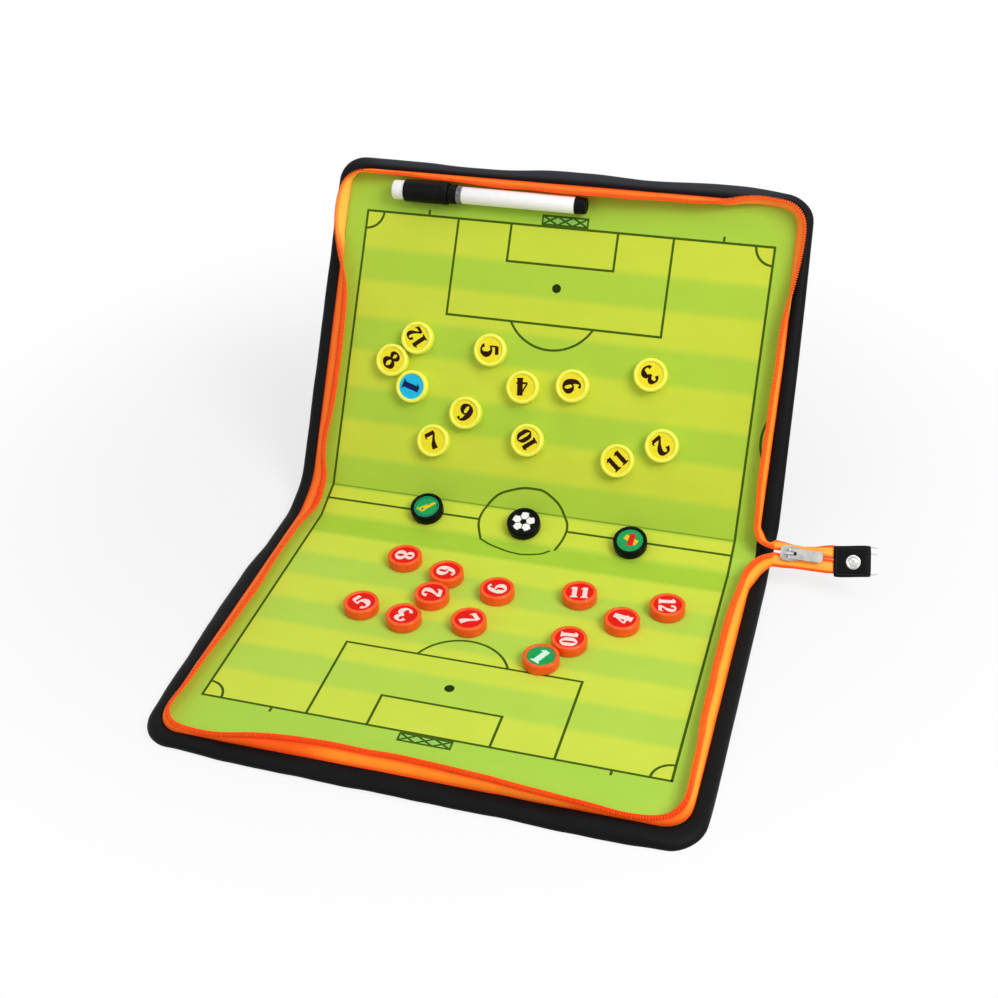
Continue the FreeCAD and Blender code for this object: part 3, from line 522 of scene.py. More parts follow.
def wave(place, *terms):
    """A soft, fixed wave along an outline: terms are (height, length, start)."""
    return sum(high * math.sin(math.tau * place / long + start) for high, long, start in terms)


def rims(inset, half):
    """Spots (u, s) of half the folder's outline moved in by inset: along one side, across, and back."""
    side, end, radius = HALF - inset, LEAF - inset, CORNER - CORNER_LOSS[half] * inset
    stretch = (end - radius - KEPT_STEPS) / (LEAF - CORNER - KEPT_STEPS)
    bends = [math.pi / 2 * k / 9 for k in range(10)]
    left = [(-side, s if s > -KEPT_STEPS else (s + KEPT_STEPS) * stretch - KEPT_STEPS) for s in SIDE_STEPS]
    left += [(-side + radius * (1 - math.cos(t)), -end + radius * (1 - math.sin(t))) for t in bends]
    front = [((side - radius) * t, -end) for t in FRONT_STEPS]
    return np.array([(u, mirrored(half, s)) for u, s in left + front + [(-u, s) for u, s in reversed(left)]])


def eased(rows, rounds):
    """Soft corners in a line, with its ends kept."""
    rows = np.array(rows, float)
    for _ in range(rounds):
        rows[1:-1] = (rows[:-2] + 2 * rows[1:-1] + rows[2:]) / 4
    return rows


PLACES = run_along(rims(0, "lower"))
# The border's section, as rows of inset and height.
RIM_SECTION = listed("10.6 -1.6, 9.95 -0.5, 9.55 0.25, 9 0.6, 8 0.9, 6 1.05, 3.6 0.75, 1.7 -0.2, 0.55 -1.5, "
                     "0.05 -3, 0.1 -4.3, 0.7 -5.4, 1.9 -6.1, 3.6 -6.3, 6.4 -6.3, 7 -6.12, 7.6 -6.3")
# The border is hand-sewn over soft foam: how far it bulges out and up, by place along the outline.
BULGE = {
    "lower": "0 0, 55 0, 73 2.2, 113 2.2, 150 0.8, 185 0, 208 -0.8, 222 -2.2, 240 -2.4, 256 -1.4, 280 0, "
             "300 0.8, 368 1.4, 443 2, 480 3, 505 3.2, 526 1.4, 540 -0.8, 552 -0.8, 565 0, 771 0",
    "upper": "0 0, 225 0, 244 -1.5, 290 -1.5, 304 -2.6, 338 -2.6, 371 0, 404 0, 437 -1.8, 471 0, 500 0, "
             "518 -1.8, 535 -4, 550 -3, 574 -2.2, 605 -1.2, 650 0, 717 1.2, 745 1.8, 758 0.8, 771 0",
}
PUFF = {
    "lower": "0 0, 225 0, 262 -0.3, 290 0, 310 -0.6, 440 -0.8, 468 -0.2, 500 0.6, 526 0, 545 -0.4, 556 0, "
             "771 0",
    "upper": "0 0, 771 0",
}
# The bulge fades over the border's width. The outside closes in rings, by shares of the way to a line.
BORDER, OUTSIDE, OUTSIDE_LINE = 9.0, (0.12, 0.4, 0.75, 1.0), -110.0


def along(text, rounds=4, column=1):
    """Values at the outline's spots, from rows of a place and its values."""
    rows = np.array(listed(text))
    return eased(np.interp(PLACES, rows[:, 0], rows[:, column]), rounds)


def cover_half(half):
    """The soft cover of one leaf and half of the spine, from its border round to the plain outside."""
    spots, uvs = [], []
    girth, before = 0.0, RIM_SECTION[0]
    bulge, puff = along(BULGE[half]), along(PUFF[half])
    section = [(*spot, 0.0) for spot in RIM_SECTION] + [(*RIM_SECTION[-1], share) for share in OUTSIDE]
    for inset, height, share in section:
        girth += math.dist((inset, height), before)
        before = (inset, height)
        outline = rims(inset, half)
        outline += (rims(inset - 1, half) - outline) * (bulge * max(0, 1 - inset / BORDER))[:, None]
        # Only the border's top swells; its waves end at the crease and underneath.
        swell = puff * limited((9.4 - inset) / 2) * limited((height + 3) / 3)
        for (u, s), place, lift in zip(outline, PLACES, swell):
            d = mirrored(half, s)
            soft = limited((-d - 4) / 30) if height > -5.5 else 0.0
            rise = lift + soft * wave(place, (0.22, 61, 0.4), (0.16, 37, 1.9), (0.1, 19, 0.7))
            if share:
                u, s = u * (1 - share), mirrored(half, d + (max(d, OUTSIDE_LINE) - d) * share)
            spots.append(fold(u, s, height + rise))
            uvs.append((u / 10 + 200, s / 10) if share else (place / 10, girth / 10))
    faces = quads(len(section), len(PLACES), flip=half == "upper")
    piece = build(f"cover_{half}", spots, faces, COVERS[half], uvs=uvs, sharp=80)
    return across(piece)


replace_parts(cover_half("lower"), "lower_cover")
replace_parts(cover_half("upper"), "upper_cover", "spine_cover")


# ---- the printed pitch ----
FILM_EDGE = 9.7
BOX, BOX_DEPTH, AREA, AREA_DEPTH = 71.5, 63.0, 35.4, 24.5
SPOT, SPOT_SIZE, CORNER_ARC, SIDE_RING = 39.1, 2.95, 11.6, 28.5
LINE, NET_LINE, NET, NET_NEAR, NET_FAR = 1.55, 1.2, 15, 1.4, 7
GOALS = {"lower": (LOW_GOAL, 1), "upper": (HIGH_GOAL, -1)}
# Steps along the printed lines, shorter near the creases, and heights of the prints over the film.
LONG_STEP, SHORT_STEP, NEAR_CREASE = 12, 0.6, 4
NET_HEIGHT, LINE_HEIGHT, SPOT_HEIGHT, LAYERS, LAYER = 0.006, 0.012, 0.02, 8, 0.003
# The centre circle is broken where the lower crease cuts the print.
CIRCLE_FOOT = listed("-24.6 -0.2, -23.1 -0.9, -16.8 -4.5, -5.7 -8.3, 1 -9.5, 6.6 -9.6, 16.9 -6.5, 21.8 -2.2")
CIRCLE_HEAD = listed("24.8 -0.6, 26.6 4, 27.9 8.1, 28.9 14, 28.3 19.9, 25.5 25.5, 20 33.5, 10.2 39.9, "
                     "3 40.9, -4.7 40.4, -12 38.2, -19.5 34.8, -25 29, -28 23, -29.3 17, -29.2 13.2, "
                     "-28.4 9.5, -26.7 5, -24.8 0.6")


def film_half(half):
    side, end, radius = HALF - FILM_EDGE, LEAF - FILM_EDGE, CORNER - CORNER_LOSS[half] * FILM_EDGE
    # Rows lie close together at the crease and in the round corners.
    near = [MIDDLE - 0.5 * i for i in range(38)]
    rest = list(np.linspace(-6.5, -end + radius, 24))
    tip = [-end + radius - radius * math.sin(math.pi / 2 * k / 14) for k in range(1, 15)]
    spots, uvs = [], []
    columns = np.linspace(-1, 1, 33)
    for d in near + rest + tip:
        over = max(0.0, -d - (end - radius))
        wide = side - radius + math.sqrt(max(radius ** 2 - over ** 2, 0))
        s = mirrored(half, d)
        up = (s + LEAF if half == "lower" else s - MIDDLE) / (LEAF + MIDDLE)
        spots += [fold(column * wide, s, 0, FILM_BEND) for column in columns]
        uvs += [(column * wide / FILM_UV + 0.5, up) for column in columns]
    faces = quads(len(spots) // len(columns), len(columns), flip=half == "lower")
    piece = build(f"pitch_film_{half}", spots, faces, film_paint(half), uvs=uvs, sharp=80)
    return across(piece)


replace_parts(film_half("lower"), "lower_pitch_film")
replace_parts(film_half("upper"), "upper_pitch_film", "spine_pitch_film")


def arc(u, s, radius, first, last, steps):
    return polar(*[(radius, a) for a in np.linspace(first, last, steps + 1)], centre=(u, s))


def straight(*corners):
    """Straight printed lines, cut into short steps where they cross the creases."""
    found = [corners[0]]
    for (u0, s0), (u1, s1) in zip(corners, corners[1:]):
        steps = max(1, int(math.hypot(u1 - u0, s1 - s0) / LONG_STEP))
        if min(s0, s1) < SPINE + NEAR_CREASE and max(s0, s1) > -NEAR_CREASE:
            steps = max(steps, int(abs(s1 - s0) / SHORT_STEP) + 1)
        found += [(u0 + (u1 - u0) * k / steps, s0 + (s1 - s0) * k / steps) for k in range(1, steps + 1)]
    return found


def pitch_lines():
    """The printed lines, each with its width."""
    nets = []
    lines = [straight((u, first), (u, last)) for first, last in ((LOW_GOAL, MIDDLE), (MIDDLE, HIGH_GOAL))
             for u in (-TOUCH, TOUCH)]
    lines += [straight((-TOUCH, HALFWAY), (-29.2, HALFWAY)), straight((28.9, HALFWAY), (TOUCH, HALFWAY)),
              smooth_line(CIRCLE_FOOT, 8), smooth_line(CIRCLE_HEAD, 8), arc(171, 90.4, SIDE_RING, 143, 217, 20)]
    for goal, way in GOALS.values():
        lines.append(straight((-TOUCH, goal), (TOUCH, goal)))
        for side, depth in ((BOX, BOX_DEPTH), (AREA, AREA_DEPTH)):
            lines.append(straight((-side, goal), (-side, goal + way * depth), (side, goal + way * depth), (side, goal)))
        for u in (-92, 103):
            lines.append(straight((u, goal), (u, goal - 3.4 * way)))
        for u, first in ((-TOUCH, 0 if way > 0 else 270), (TOUCH, 90 if way > 0 else 180)):
            lines.append(arc(u, goal, CORNER_ARC, first, first + 90, 14))
        near, far = goal - NET_NEAR * way, goal - NET_FAR * way
        nets.append(straight((-NET, near), (NET, near), (NET, far), (-NET, far), (-NET, near)))
        for u in (-15, -5, 5):
            nets += [straight((u, near), (u + 10, far)), straight((u, far), (u + 10, near))]
    lines += [arc(0, -128.4, 30, 24.5, 155.5, 30), arc(0, SPINE + 136.5, 31.5, 209.5, 330.5, 30)]
    return [(line, LINE) for line in lines] + [(line, NET_LINE) for line in nets]


def ribbon(line, wide, height):
    """A flat strip along a line of (u, s) on the film, mitred at its corners."""
    line = np.array(line, float)
    ways = unit(np.diff(line, axis=0))
    line[0] -= ways[0] * wide * 0.3
    line[-1] += ways[-1] * wide * 0.3
    sides = np.stack([-ways[:, 1], ways[:, 0]], 1)
    before, after = np.vstack([sides[:1], sides]), np.vstack([sides, sides[-1:]])
    mitres = (before + after) / (1 + (before * after).sum(axis=1))[:, None] * wide / 2
    edges = [spot for middle, mitre in zip(line, mitres) for spot in (middle + mitre, middle - mitre)]
    return [fold(*spot, height, FILM_BEND) for spot in edges], quads(len(line), 2)


def print_half(half):
    """The lines, the net's ground and the spot of one half; lines that cross lie at different heights."""
    lots = []
    for layer, (line, wide) in enumerate(pitch_lines()):
        part = []
        for spot in [*line, None]:
            if spot is not None and mirrored(half, spot[1]) <= MIDDLE:
                part.append(spot)
                continue
            if len(part) > 1:
                lots.append((0, ribbon(part, wide, LINE_HEIGHT + LAYER * (layer % LAYERS))))
            part = []
    goal, way = GOALS[half]
    low, high = sorted((goal - NET_NEAR * way, goal - NET_FAR * way))
    net = [(u, s, NET_HEIGHT) for u, s in ((-NET, low), (NET, low), (NET, high), (-NET, high))], [[0, 1, 2, 3]]
    dot = fan(circle(SPOT_SIZE, 28, (0, goal + way * SPOT)), SPOT_HEIGHT)
    for kind, (flat, faces) in ((1, net), (2, dot)):
        lots.append((kind, ([fold(*spot, FILM_BEND) for spot in flat], faces)))
    spots, faces, kinds = mixed(lots)
    colours = [INKS[name] for name in ("pitch_line_ink", "goal_net_fill", "pitch_spot_ink")]
    piece = build(f"pitch_print_{half}", spots, faces, *colours, kinds=kinds)
    return across(piece)


print_half("lower")
print_half("upper")


# ---- zip tapes ----
# How the tape leans along each half: the place along the outline, the way in at its top, and its rise.
LEAN = {
    "lower": "0 13.2 8, 12 13.5 8.2, 21 12.4 8.5, 30 10.8 8.5, 40 9.7 8.5, 61 9 8.5, 101 10.8 8.5, "
             "141 10.2 8.5, 171 8 8.5, 201 7.5 8.6, 214 6.2 8, 224 4.6 7, 236 2.8 5.8, 250 0.8 4.8, "
             "261 0.4 4.4, 273 0.8 6.6, 290 1.8 8.4, 307 5 9.8, 330 6.4 8.8, 353 7 8.4, 376 6.6 8.8, "
             "399 5.4 9.5, 422 3.4 10, 443 1.7 9.8, 468 0.8 8.4, 491 0.4 6.4, 508 0.4 4.6, 520 0.6 4.4, "
             "530 2.2 5.6, 540 4.2 8, 550 4.8 9, 560 4.4 9, 570 4.2 9, 584 4.8 9, 605 6.2 8.8, 624 7.3 8.5, "
             "664 7.8 8.5, 694 8.5 8.5, 720 7.4 8.8, 735 6 9, 746 5.2 9.2",
    "upper": "0 12.5 8, 10 12.5 8, 20 11.5 8.3, 30 9 8.5, 40 7.2 8.7, 52 9 8.7, 73 12 8.5, 105 11 8.5, "
             "137 11.3 8.5, 150 9.2 9, 160 6.2 10, 172 1 10.8, 184 -4 10.5, 194 -6.2 10, 204 -6.4 10, "
             "212 -4 10.4, 219 -0.5 10.6, 226 2 10.4, 236 3.4 10, 248 3.7 9.8, 262 4 9.5, 287 4.4 9.5, "
             "307 5.2 9.8, 328 6.4 10.5, 355 7 12, 381 7.2 13, 401 7.6 13.2, 421 7 12.8, 440 6.4 11.5, "
             "459 6.2 10.2, 482 5.4 10, 492 3.2 10, 502 -1 10, 514 -3.6 10, 532 -2 10, 552 -4.6 10, "
             "566 -6.2 10, 583 -4.8 10, 599 -0.2 10, 613 2.6 10, 635 3.8 10, 666 3.6 10, 697 4.6 9.4, "
             "716 4.4 9, 729 3.8 9, 748 3 9",
}
# How far in the foot is sewn, and how much further by place along the outline.
FOOT = 9.5
FOOT_SHIFT = {
    "lower": "0 0, 771 0",
    "upper": "0 0, 495 0, 515 1.6, 535 2.4, 590 2.2, 606 1, 625 0, 771 0",
}
# How far the tape bows out between its edges; where it turns over it bows in.
BOW = {
    "lower": "0 0.7, 771 0.7",
    "upper": "0 0.7, 150 0.7, 164 -2.2, 178 -2.2, 190 0, 478 0, 490 -2.6, 504 -2.6, 522 0, 771 0.5",
}
TAPE_THICK, FOOT_HEIGHT = 0.7, 0.35
# Right end: outer and coil edges of the tapes on their way to the tail, as (u, s, h) on the folder.
WAY_OUT = {
    "lower": (((152.2, -4.5, 1.4), (154.6, 1.0, 3.0), (157.8, 4.6, 5.2)),
              ((145.0, -5.5, 9.8), (148.0, 4.5, 11.0), (153.1, 10.4, 11.6))),
    "upper": (((152.0, 33, 1.6), (154.4, 28.3, 4.2), (157.6, 25, 8.2)),
              ((147.6, 32, 9.5), (149.6, 25, 10.5), (153.6, 19.7, 11.6))),
}
TAIL_ROOT = 0.8
ROOT_FOOT = {"lower": (TAIL_ROOT, -9.6, 0.0), "upper": (TAIL_ROOT, 6.8, -3.05)}
# The coils' pitch, the sides of their wire and the steps in a turn; and for the tapes and the tail how
# far a loop reaches, how deep it is, how far from the edge it is sewn, and its wire.
COIL_PITCH, WIRE_SIDES, TURN_STEPS = 1.5, 4, 7
TAPE_COIL, TAIL_COIL = (1.05, 0.62, 1.45, 0.42), (0.6, 0.4, 0.62, 0.3)


def coil_line(x):
    """Half the gap between the tail tapes: they stay apart as far as the slider's wedge travels."""
    return float(np.interp(x, (TAIL_ROOT, 4, 5.2, 22, 25), (0.8, 0.9, 1.25, 1.25, 0.15)))


def tail_spot(x, y, z):
    return np.array(TAIL_FRAME @ Vector((x, y, z)))


def tape_edges(half):
    """The foot and the coil edge of one tape, round its leaf and out to the tail's root, and its bows."""
    side = -1 if half == "lower" else 1
    leans, rises = (along(LEAN[half], 3, column) for column in (1, 2))
    last_place = listed(LEAN[half])[-1][0]
    outline = rims(FOOT, half)
    outline += (rims(FOOT + 1, half) - outline) * along(FOOT_SHIFT[half])[:, None]
    ways = unit(np.gradient(outline, axis=0))
    feet, tops = [], []
    for (u, s), way, place, lean, rise in zip(outline, ways, PLACES, leans, rises):
        if place > last_place:
            break
        lean += wave(place, (0.35, 47, 0.3), (0.25, 29, 2.0))
        rise += wave(place, (0.2, 41, 1.0))
        feet.append(fold(u, s, FOOT_HEIGHT))
        tops.append(fold(u + side * way[1] * lean, s - side * way[0] * lean, rise))
    roots = tail_spot(*ROOT_FOOT[half]), tail_spot(TAIL_ROOT, side * coil_line(TAIL_ROOT), 0)
    for rows, more, root in zip((feet, tops), WAY_OUT[half], roots):
        rows[-1:] = smooth_line([rows[-1], *[fold(*spot) for spot in more], root], 6)
    bows = list(along(BOW[half])[:len(feet)])
    return eased(feet, 3), eased(tops, 4), np.array(bows + bows[-1:] * (len(feet) - len(bows)))


def band(name, feet, tops, flip, cloths, bows=None, knees=None, first=0.0):
    """A woven band between two edges, with its own thickness: bowed a little, or bent at its knees."""
    shares = np.linspace(0, 1, 9)
    steps = run_along((feet + tops) / 2, first)
    outs = unit(np.cross(np.gradient((feet + tops) / 2, axis=0), tops - feet)) * (-1 if flip else 1)
    spots, uvs = [], []
    for index, (foot, top, out, place) in enumerate(zip(feet, tops, outs, steps)):
        if knees is None:
            swell = bows[index] * (1 + 0.5 * wave(place, (0.6, 33, 0.2), (0.4, 21, 1.1)))
            face = [foot + (top - foot) * t + out * swell * math.sin(math.pi * t) for t in shares]
        else:
            knee = knees[index]
            face = [foot + (knee - foot) * t * 2 if t < 0.5 else knee + (top - knee) * (2 * t - 1) for t in shares]
        for side, order in ((1, 1), (-1, -1)):
            spots += [spot + side * out * TAPE_THICK / 2 for spot in face[::order]]
            uvs += [(place / 10, t) for t in shares[::order]]
    columns = 2 * len(shares)
    faces = quads(len(feet), columns, ring=True, flip=not flip)
    kinds = [int(len(shares) <= index % columns < columns - 1) for index in range(len(faces))] + [0, 0]
    faces.append(list(range(columns))[::1 if flip else -1])
    faces.append(list(range(len(spots) - columns, len(spots)))[::-1 if flip else 1])
    return build(name, spots, faces, *cloths, kinds=kinds, uvs=uvs, sharp=60)


def coil(name, feet, tops, flip, nylon, loop, first=0.0):
    """The nylon coil sewn along the tape's free edge, on its outer face."""
    reach, depth, set_in, wire = loop
    steps = run_along(tops, first)
    places = np.arange(first, steps[-1], COIL_PITCH / TURN_STEPS)
    edge, base = (np.stack([np.interp(places, steps, rows[:, k]) for k in range(3)], 1) for rows in (tops, feet))
    down = unit(base - edge)
    out = unit(np.cross(unit(np.gradient(edge, axis=0)), -down)) * (-1 if flip else 1)
    turns = math.tau * places / COIL_PITCH
    middle = edge + down * set_in + out * (depth * 0.75 + TAPE_THICK / 2)
    line = middle + down * (reach * np.cos(turns))[:, None] + out * (depth * np.sin(turns))[:, None]
    spots, faces = tube(line, wire, WIRE_SIDES)
    uvs = [(place / 10, j / WIRE_SIDES) for place in places for j in range(WIRE_SIDES)]
    return build(name, spots, faces, nylon, uvs=uvs, sharp=80)


# The upper tape is cut where it is all on its leaf. Its end is a piece of its own, which runs on to the tail on the
# spine.
END_PLACE = 743
EDGES = {half: tape_edges(half) for half in HALVES}
CUT = int(np.searchsorted(PLACES, END_PLACE))


def zip_run(half, span, mark="", first=(0.0, 0.0)):
    """One length of tape with its coil, and how far along both have come at its end."""
    feet, tops, bows = (rows[span] for rows in EDGES[half])
    turned_over = half == "upper"
    cloth = band(f"zip_tape_{half}{mark}", feet, tops, turned_over, CLOTHS[half], bows, first=first[0])
    teeth = coil(f"zip_coil_{half}{mark}", feet, tops, turned_over, COILS[half], TAPE_COIL, first[1])
    for piece, slot in ((cloth, "zip_tape"), (teeth, "zip_coil")):
        if mark:
            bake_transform(piece)
        else:
            across(piece)
            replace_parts(piece, f"{half}_{slot}")
    return cloth, (run_along((feet + tops) / 2, first[0])[-1], run_along(tops, first[1])[-1])


lower_tape, _ = zip_run("lower", slice(None))
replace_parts(lower_tape, "spine_zip_gusset", "zip_anchor")
_, reached = zip_run("upper", slice(CUT + 1))
zip_run("upper", slice(CUT, None), "_end", reached)


# ---- zip tail ----
TAB_START, TAB_LONG, TAB_HALF, TAB_DEEP, RIVET = 37.0, 22.0, 9.5, 1.9, 48.5
TAB_MIDDLE, SEAM, STITCHES = TAB_START + TAB_LONG / 2, 0.84, 9
TAB_TURN = Matrix.Translation((47.8, 0.4, 0)) @ Matrix.Rotation(math.radians(7), 4, "Z")
TAB_FRAME = TAIL_FRAME @ TAB_TURN @ Matrix.Translation((-48, 0, 0))
# The slider holds the tapes flat out to SLOT. Beyond it the rear tape rolls back between the folder and
# the tab, by degrees in ROLL, and the front one reaches as far out as REACH says.
SLOT, TAIL_HALF, TAIL_END, COIL_STEPS = 4.9, 8.5, 43.0, 38
ROLL = listed("0.8 58, 6 68, 12 84, 18 88, 25 74, 31 42, 35 10, 37 0, 43 0")
REACH = listed("0.8 9.6, 8 9.5, 14 9, 26 8.9, 34 8.9, 37 8.5, 43 8.5")


def tail_edges(side):
    """The outer edge, the knee and the coil edge of one tail tape."""
    edges = []
    for x in np.linspace(TAIL_ROOT, TAIL_END, 43):
        past = x - TAIL_ROOT
        if side < 0:
            slack = limited((TAB_START - x) / 6) * min(1, past / 5)
            foot = np.array((x, -np.interp(x, *zip(*REACH)), 0.9 * slack * math.sin(x / 5.5)))
        else:
            turn = math.radians(np.interp(x, *zip(*ROLL)))
            foot = np.array((x, SLOT + (TAIL_HALF - SLOT) * math.cos(turn), (SLOT - TAIL_HALF) * math.sin(turn)))
        top = np.array((x, side * coil_line(x), 0))
        evenly = top + (foot - top) * 0.5
        knee = evenly + (np.array((x, side * SLOT, 0)) - evenly) * min(1, past / 3)
        edges.append([tail_spot(*spot) for spot in (foot, knee, top)])
    return np.array(edges).transpose(1, 0, 2)


for side, name in ((-1, "front"), (1, "rear")):
    feet, knees, tops = tail_edges(side)
    cloth = band(f"tail_tape_{name}", feet, tops, side > 0, CLOTHS["tail"], knees=knees)
    teeth = coil(f"tail_coil_{name}", knees[:COIL_STEPS], tops[:COIL_STEPS], side > 0, COILS["tail"], TAIL_COIL)
    for piece, slot, node in ((cloth, "zip_tape", "zip_tail_tapes"), (teeth, "zip_coil", "zip_tail_coils")):
        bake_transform(piece)
        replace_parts(piece, node)


def tail_tab():
    """A folded square of PU with soft edges, pinched flat by its seams."""
    steps = np.linspace(-1, 1, 25)
    count = len(steps)
    spots = []
    for layer, x, y in ((layer, x, y) for layer in (1, -1) for x in steps for y in steps):
        puff = (1 - abs(x) ** 8) * (1 - abs(y) ** 8)
        pinch = math.exp(-((max(abs(x), abs(y)) - SEAM) / 0.035) ** 2)
        high = TAB_DEEP * (0.62 + 0.38 * puff ** 0.5) - 0.28 * pinch
        round_off = 0.35 * (abs(x) ** 6) * (abs(y) ** 6)
        spots.append((TAB_MIDDLE + x * (TAB_LONG / 2 - round_off),
                      y * (TAB_HALF - round_off) + 0.25 * math.sin(2.2 * x), layer * high))
    faces = quads(count, count, flip=True) + quads(count, count, start=count * count)
    border = list(range(count)) + [i * count + count - 1 for i in range(1, count)]
    border += [(count - 1) * count + i for i in reversed(range(count - 1))]
    border += [i * count for i in reversed(range(1, count - 1))]
    faces += [[a, b, b + count * count, a + count * count] for a, b in zip(border, border[1:] + border[:1])]
    tab = build("tail_tab_pu", seated(spots, TAB_FRAME), faces, TAB_PU, sharp=75)
    fixed(tab, "cover_pu", "zip_tail", "zip_tail_tab")


def tab_stitches():
    """The stitches of the tab's seams on both faces, and three loose ends of thread."""
    stitches = []
    corners = np.array(((-SEAM, -SEAM), (-SEAM, SEAM), (SEAM, SEAM), (SEAM, -SEAM)))
    for layer in (1, -1):
        for a, b in zip(corners, np.roll(corners, -1, 0)):
            for k in range(STITCHES):
                line = []
                for t in np.linspace(0, 1, 6):
                    x, y = a + (b - a) * (k + 0.16 + 0.68 * t) / STITCHES
                    rise = TAB_DEEP - 0.24 + 0.24 * math.sin(math.pi * t)
                    line.append((TAB_MIDDLE + x * TAB_LONG / 2, y * TAB_HALF, layer * rise))
                stitches.append(tube(line, 0.2, 5))
    for (x, y, z), way in (((58.8, 8.4, 0.3), 1), ((58.9, -7.6, -0.2), -1), ((58.7, 4.6, -0.5), 1)):
        line = [(x + 3.6 * t, y + way * (1.4 * t - 1.9 * t * t), z + 0.9 * math.sin(3 * t))
                for t in np.linspace(0, 1, 9)]
        stitches.append(tube(line, 0.14, 5))
    spots, faces = joined(*stitches)
    fixed(build("tail_tab_stitches", seated(spots, TAB_FRAME), faces, THREAD), "cover_pu", "zip_tail")


def tail_rivet():
    head = listed("0 -2.5, 2.6 -2.5, 3.3 -2.35, 3.5 -2.05, 3.3 -1.75, 1.5 -1.7, 1.5 1.7, 4.2 1.75, 4.5 2, 4.5 2.3, "
                  "4.3 2.65, 3.7 2.95, 3.2 2.98, 2.95 2.8, 2.8 2.8, 2.6 3.05, 1.9 3.4, 1 3.58, 0 3.62")
    spots, faces = lathe(head, 40)
    spots = seated(spots, TAIL_FRAME @ Matrix.Translation((RIVET, 0, 0)))
    fixed(build("tail_rivet_metal", spots, faces, METAL), "plated_metal", "zip_tail", "zip_tail_rivet")


tail_tab()
tab_stitches()
tail_rivet()


# ---- counters ----
CUP = listed("0 3.05, 8.7 3.05, 8.7 0.3, 9 0.07, 9.9 0.05, 10.4 0.2, 10.7 0.7, 10.75 1.4, 10.75 5.3, "
             "10.68 5.9, 10.4 6.36, 9.95 6.57, 9.4 6.6, 8.85 6.56, 8.5 6.36, 8.36 6.05, 8.34 5.8, 0 5.8")
CUP_MIDDLE, LABEL, LABEL_HEIGHT, PRINT_HEIGHT = 3.3, 8.3, 5.86, 5.89
# Strokes of the digits, in hundredths of their height: rows of (across, up, width). Those of RINGS close.
DIGITS = {
    "0": "30 97 7, 50 76 18, 52 50 20, 50 24 18, 30 3 7, 10 24 18, 8 50 20, 10 76 18",
    "1": "32 2 20, 32 96 20; 8 80 5, 30 93 10; 10 3 7, 54 3 7",
    "2": "10 72 14, 16 90 10, 32 96 8, 49 85 17, 48 62 18, 30 35 10, 8 8 7; 6 7 14, 52 7 14; 53 6 5, 56 25 5",
    "3": "10 76 13, 18 92 9, 32 96 8, 47 84 17, 45 66 14, 26 53 7; 26 53 7, 48 44 16, 51 25 19, 42 7 12, "
         "26 3 8, 12 10 10, 8 22 14",
    "4": "38 95 6, 5 30 6; 4 28 8, 58 28 8; 40 96 20, 40 3 20; 24 3 6, 56 3 6",
    "5": "14 90 15, 52 92 15; 14 94 6, 12 52 6; 12 52 6, 28 60 9, 46 50 17, 51 30 20, 42 9 13, 26 3 8, "
         "12 9 10, 8 20 14",
    "6": "48 86 12, 34 96 7, 17 80 15, 9 45 20, 12 18 17, 30 3 8, 48 17 16, 51 33 18, 46 48 14, 32 57 7, "
         "17 46 6",
    "7": "6 90 16, 55 90 16; 7 94 5, 5 70 5; 53 88 7, 38 55 10, 28 25 18, 27 3 21",
    "8": "30 97 7, 46 86 14, 46 70 14, 30 56 8, 14 70 14, 14 86 14; 30 54 8, 49 40 16, 51 20 17, 30 3 8, "
         "9 20 17, 11 40 16",
}
RINGS, DIGIT_WIDE, BOLD = "08", 0.6, 1.38


def strokes(sign):
    """A digit's strokes in a box 0.6 wide and 1 high; a nine is a six turned round."""
    if sign == "9":
        return [[(DIGIT_WIDE - x, 1 - y, w) for x, y, w in stroke] for stroke in strokes("6")]
    return [[(x / 100, y / 100, w / 100) for x, y, w in listed(text)] for text in DIGITS[sign].split(";")]


def stroke_mesh(stroke, ring, high):
    """A flat stroke whose width changes along it."""
    line = smooth_line(stroke, 7, ring) if len(stroke) > 2 else np.array(stroke, float)
    flat = line[:, :2]
    ways = unit(np.roll(flat, -1, 0) - np.roll(flat, 1, 0) if ring else np.gradient(flat, axis=0))
    out = np.stack([-ways[:, 1], ways[:, 0]], 1) * line[:, 2:3] / 2
    spots = [(*spot, high) for pair in zip(flat + out, flat - out) for spot in pair]
    count = len(spots)
    return spots, quads(len(line), 2) + ([[count - 2, count - 1, 1, 0]] if ring else [])


def number_mesh(word):
    """The digits of a number, set about the middle of a label."""
    high, step, wide = (11.9, 0, 1.14) if len(word) == 1 else (10.2, 6.4, 1.02)
    lots = []
    for index, sign in enumerate(word):
        shift = (index - (len(word) - 1) / 2) * step
        for layer, stroke in enumerate(strokes(sign)):
            bold = [(x, y, w * BOLD) for x, y, w in stroke]
            spots, faces = stroke_mesh(bold, sign in RINGS, PRINT_HEIGHT + 0.006 * layer)
            spots = [((x - DIGIT_WIDE / 2) * high * wide + shift, (y - 0.5) * high, z) for x, y, z in spots]
            lots.append((spots, faces))
    return joined(*lots)


def ring_mesh(inner, outer, high, count=48, centre=(0, 0)):
    pairs = zip(circle(outer, count, centre), circle(inner, count, centre))
    faces = [[2 * k, (2 * k + 2) % (2 * count), (2 * k + 3) % (2 * count), 2 * k + 1] for k in range(count)]
    return [(*spot, high) for pair in pairs for spot in pair], faces


def spun(outline, degrees, shift=(0, 0)):
    c, s = math.cos(math.radians(degrees)), math.sin(math.radians(degrees))
    return [(c * x - s * y + shift[0], s * x + c * y + shift[1]) for x, y in outline]


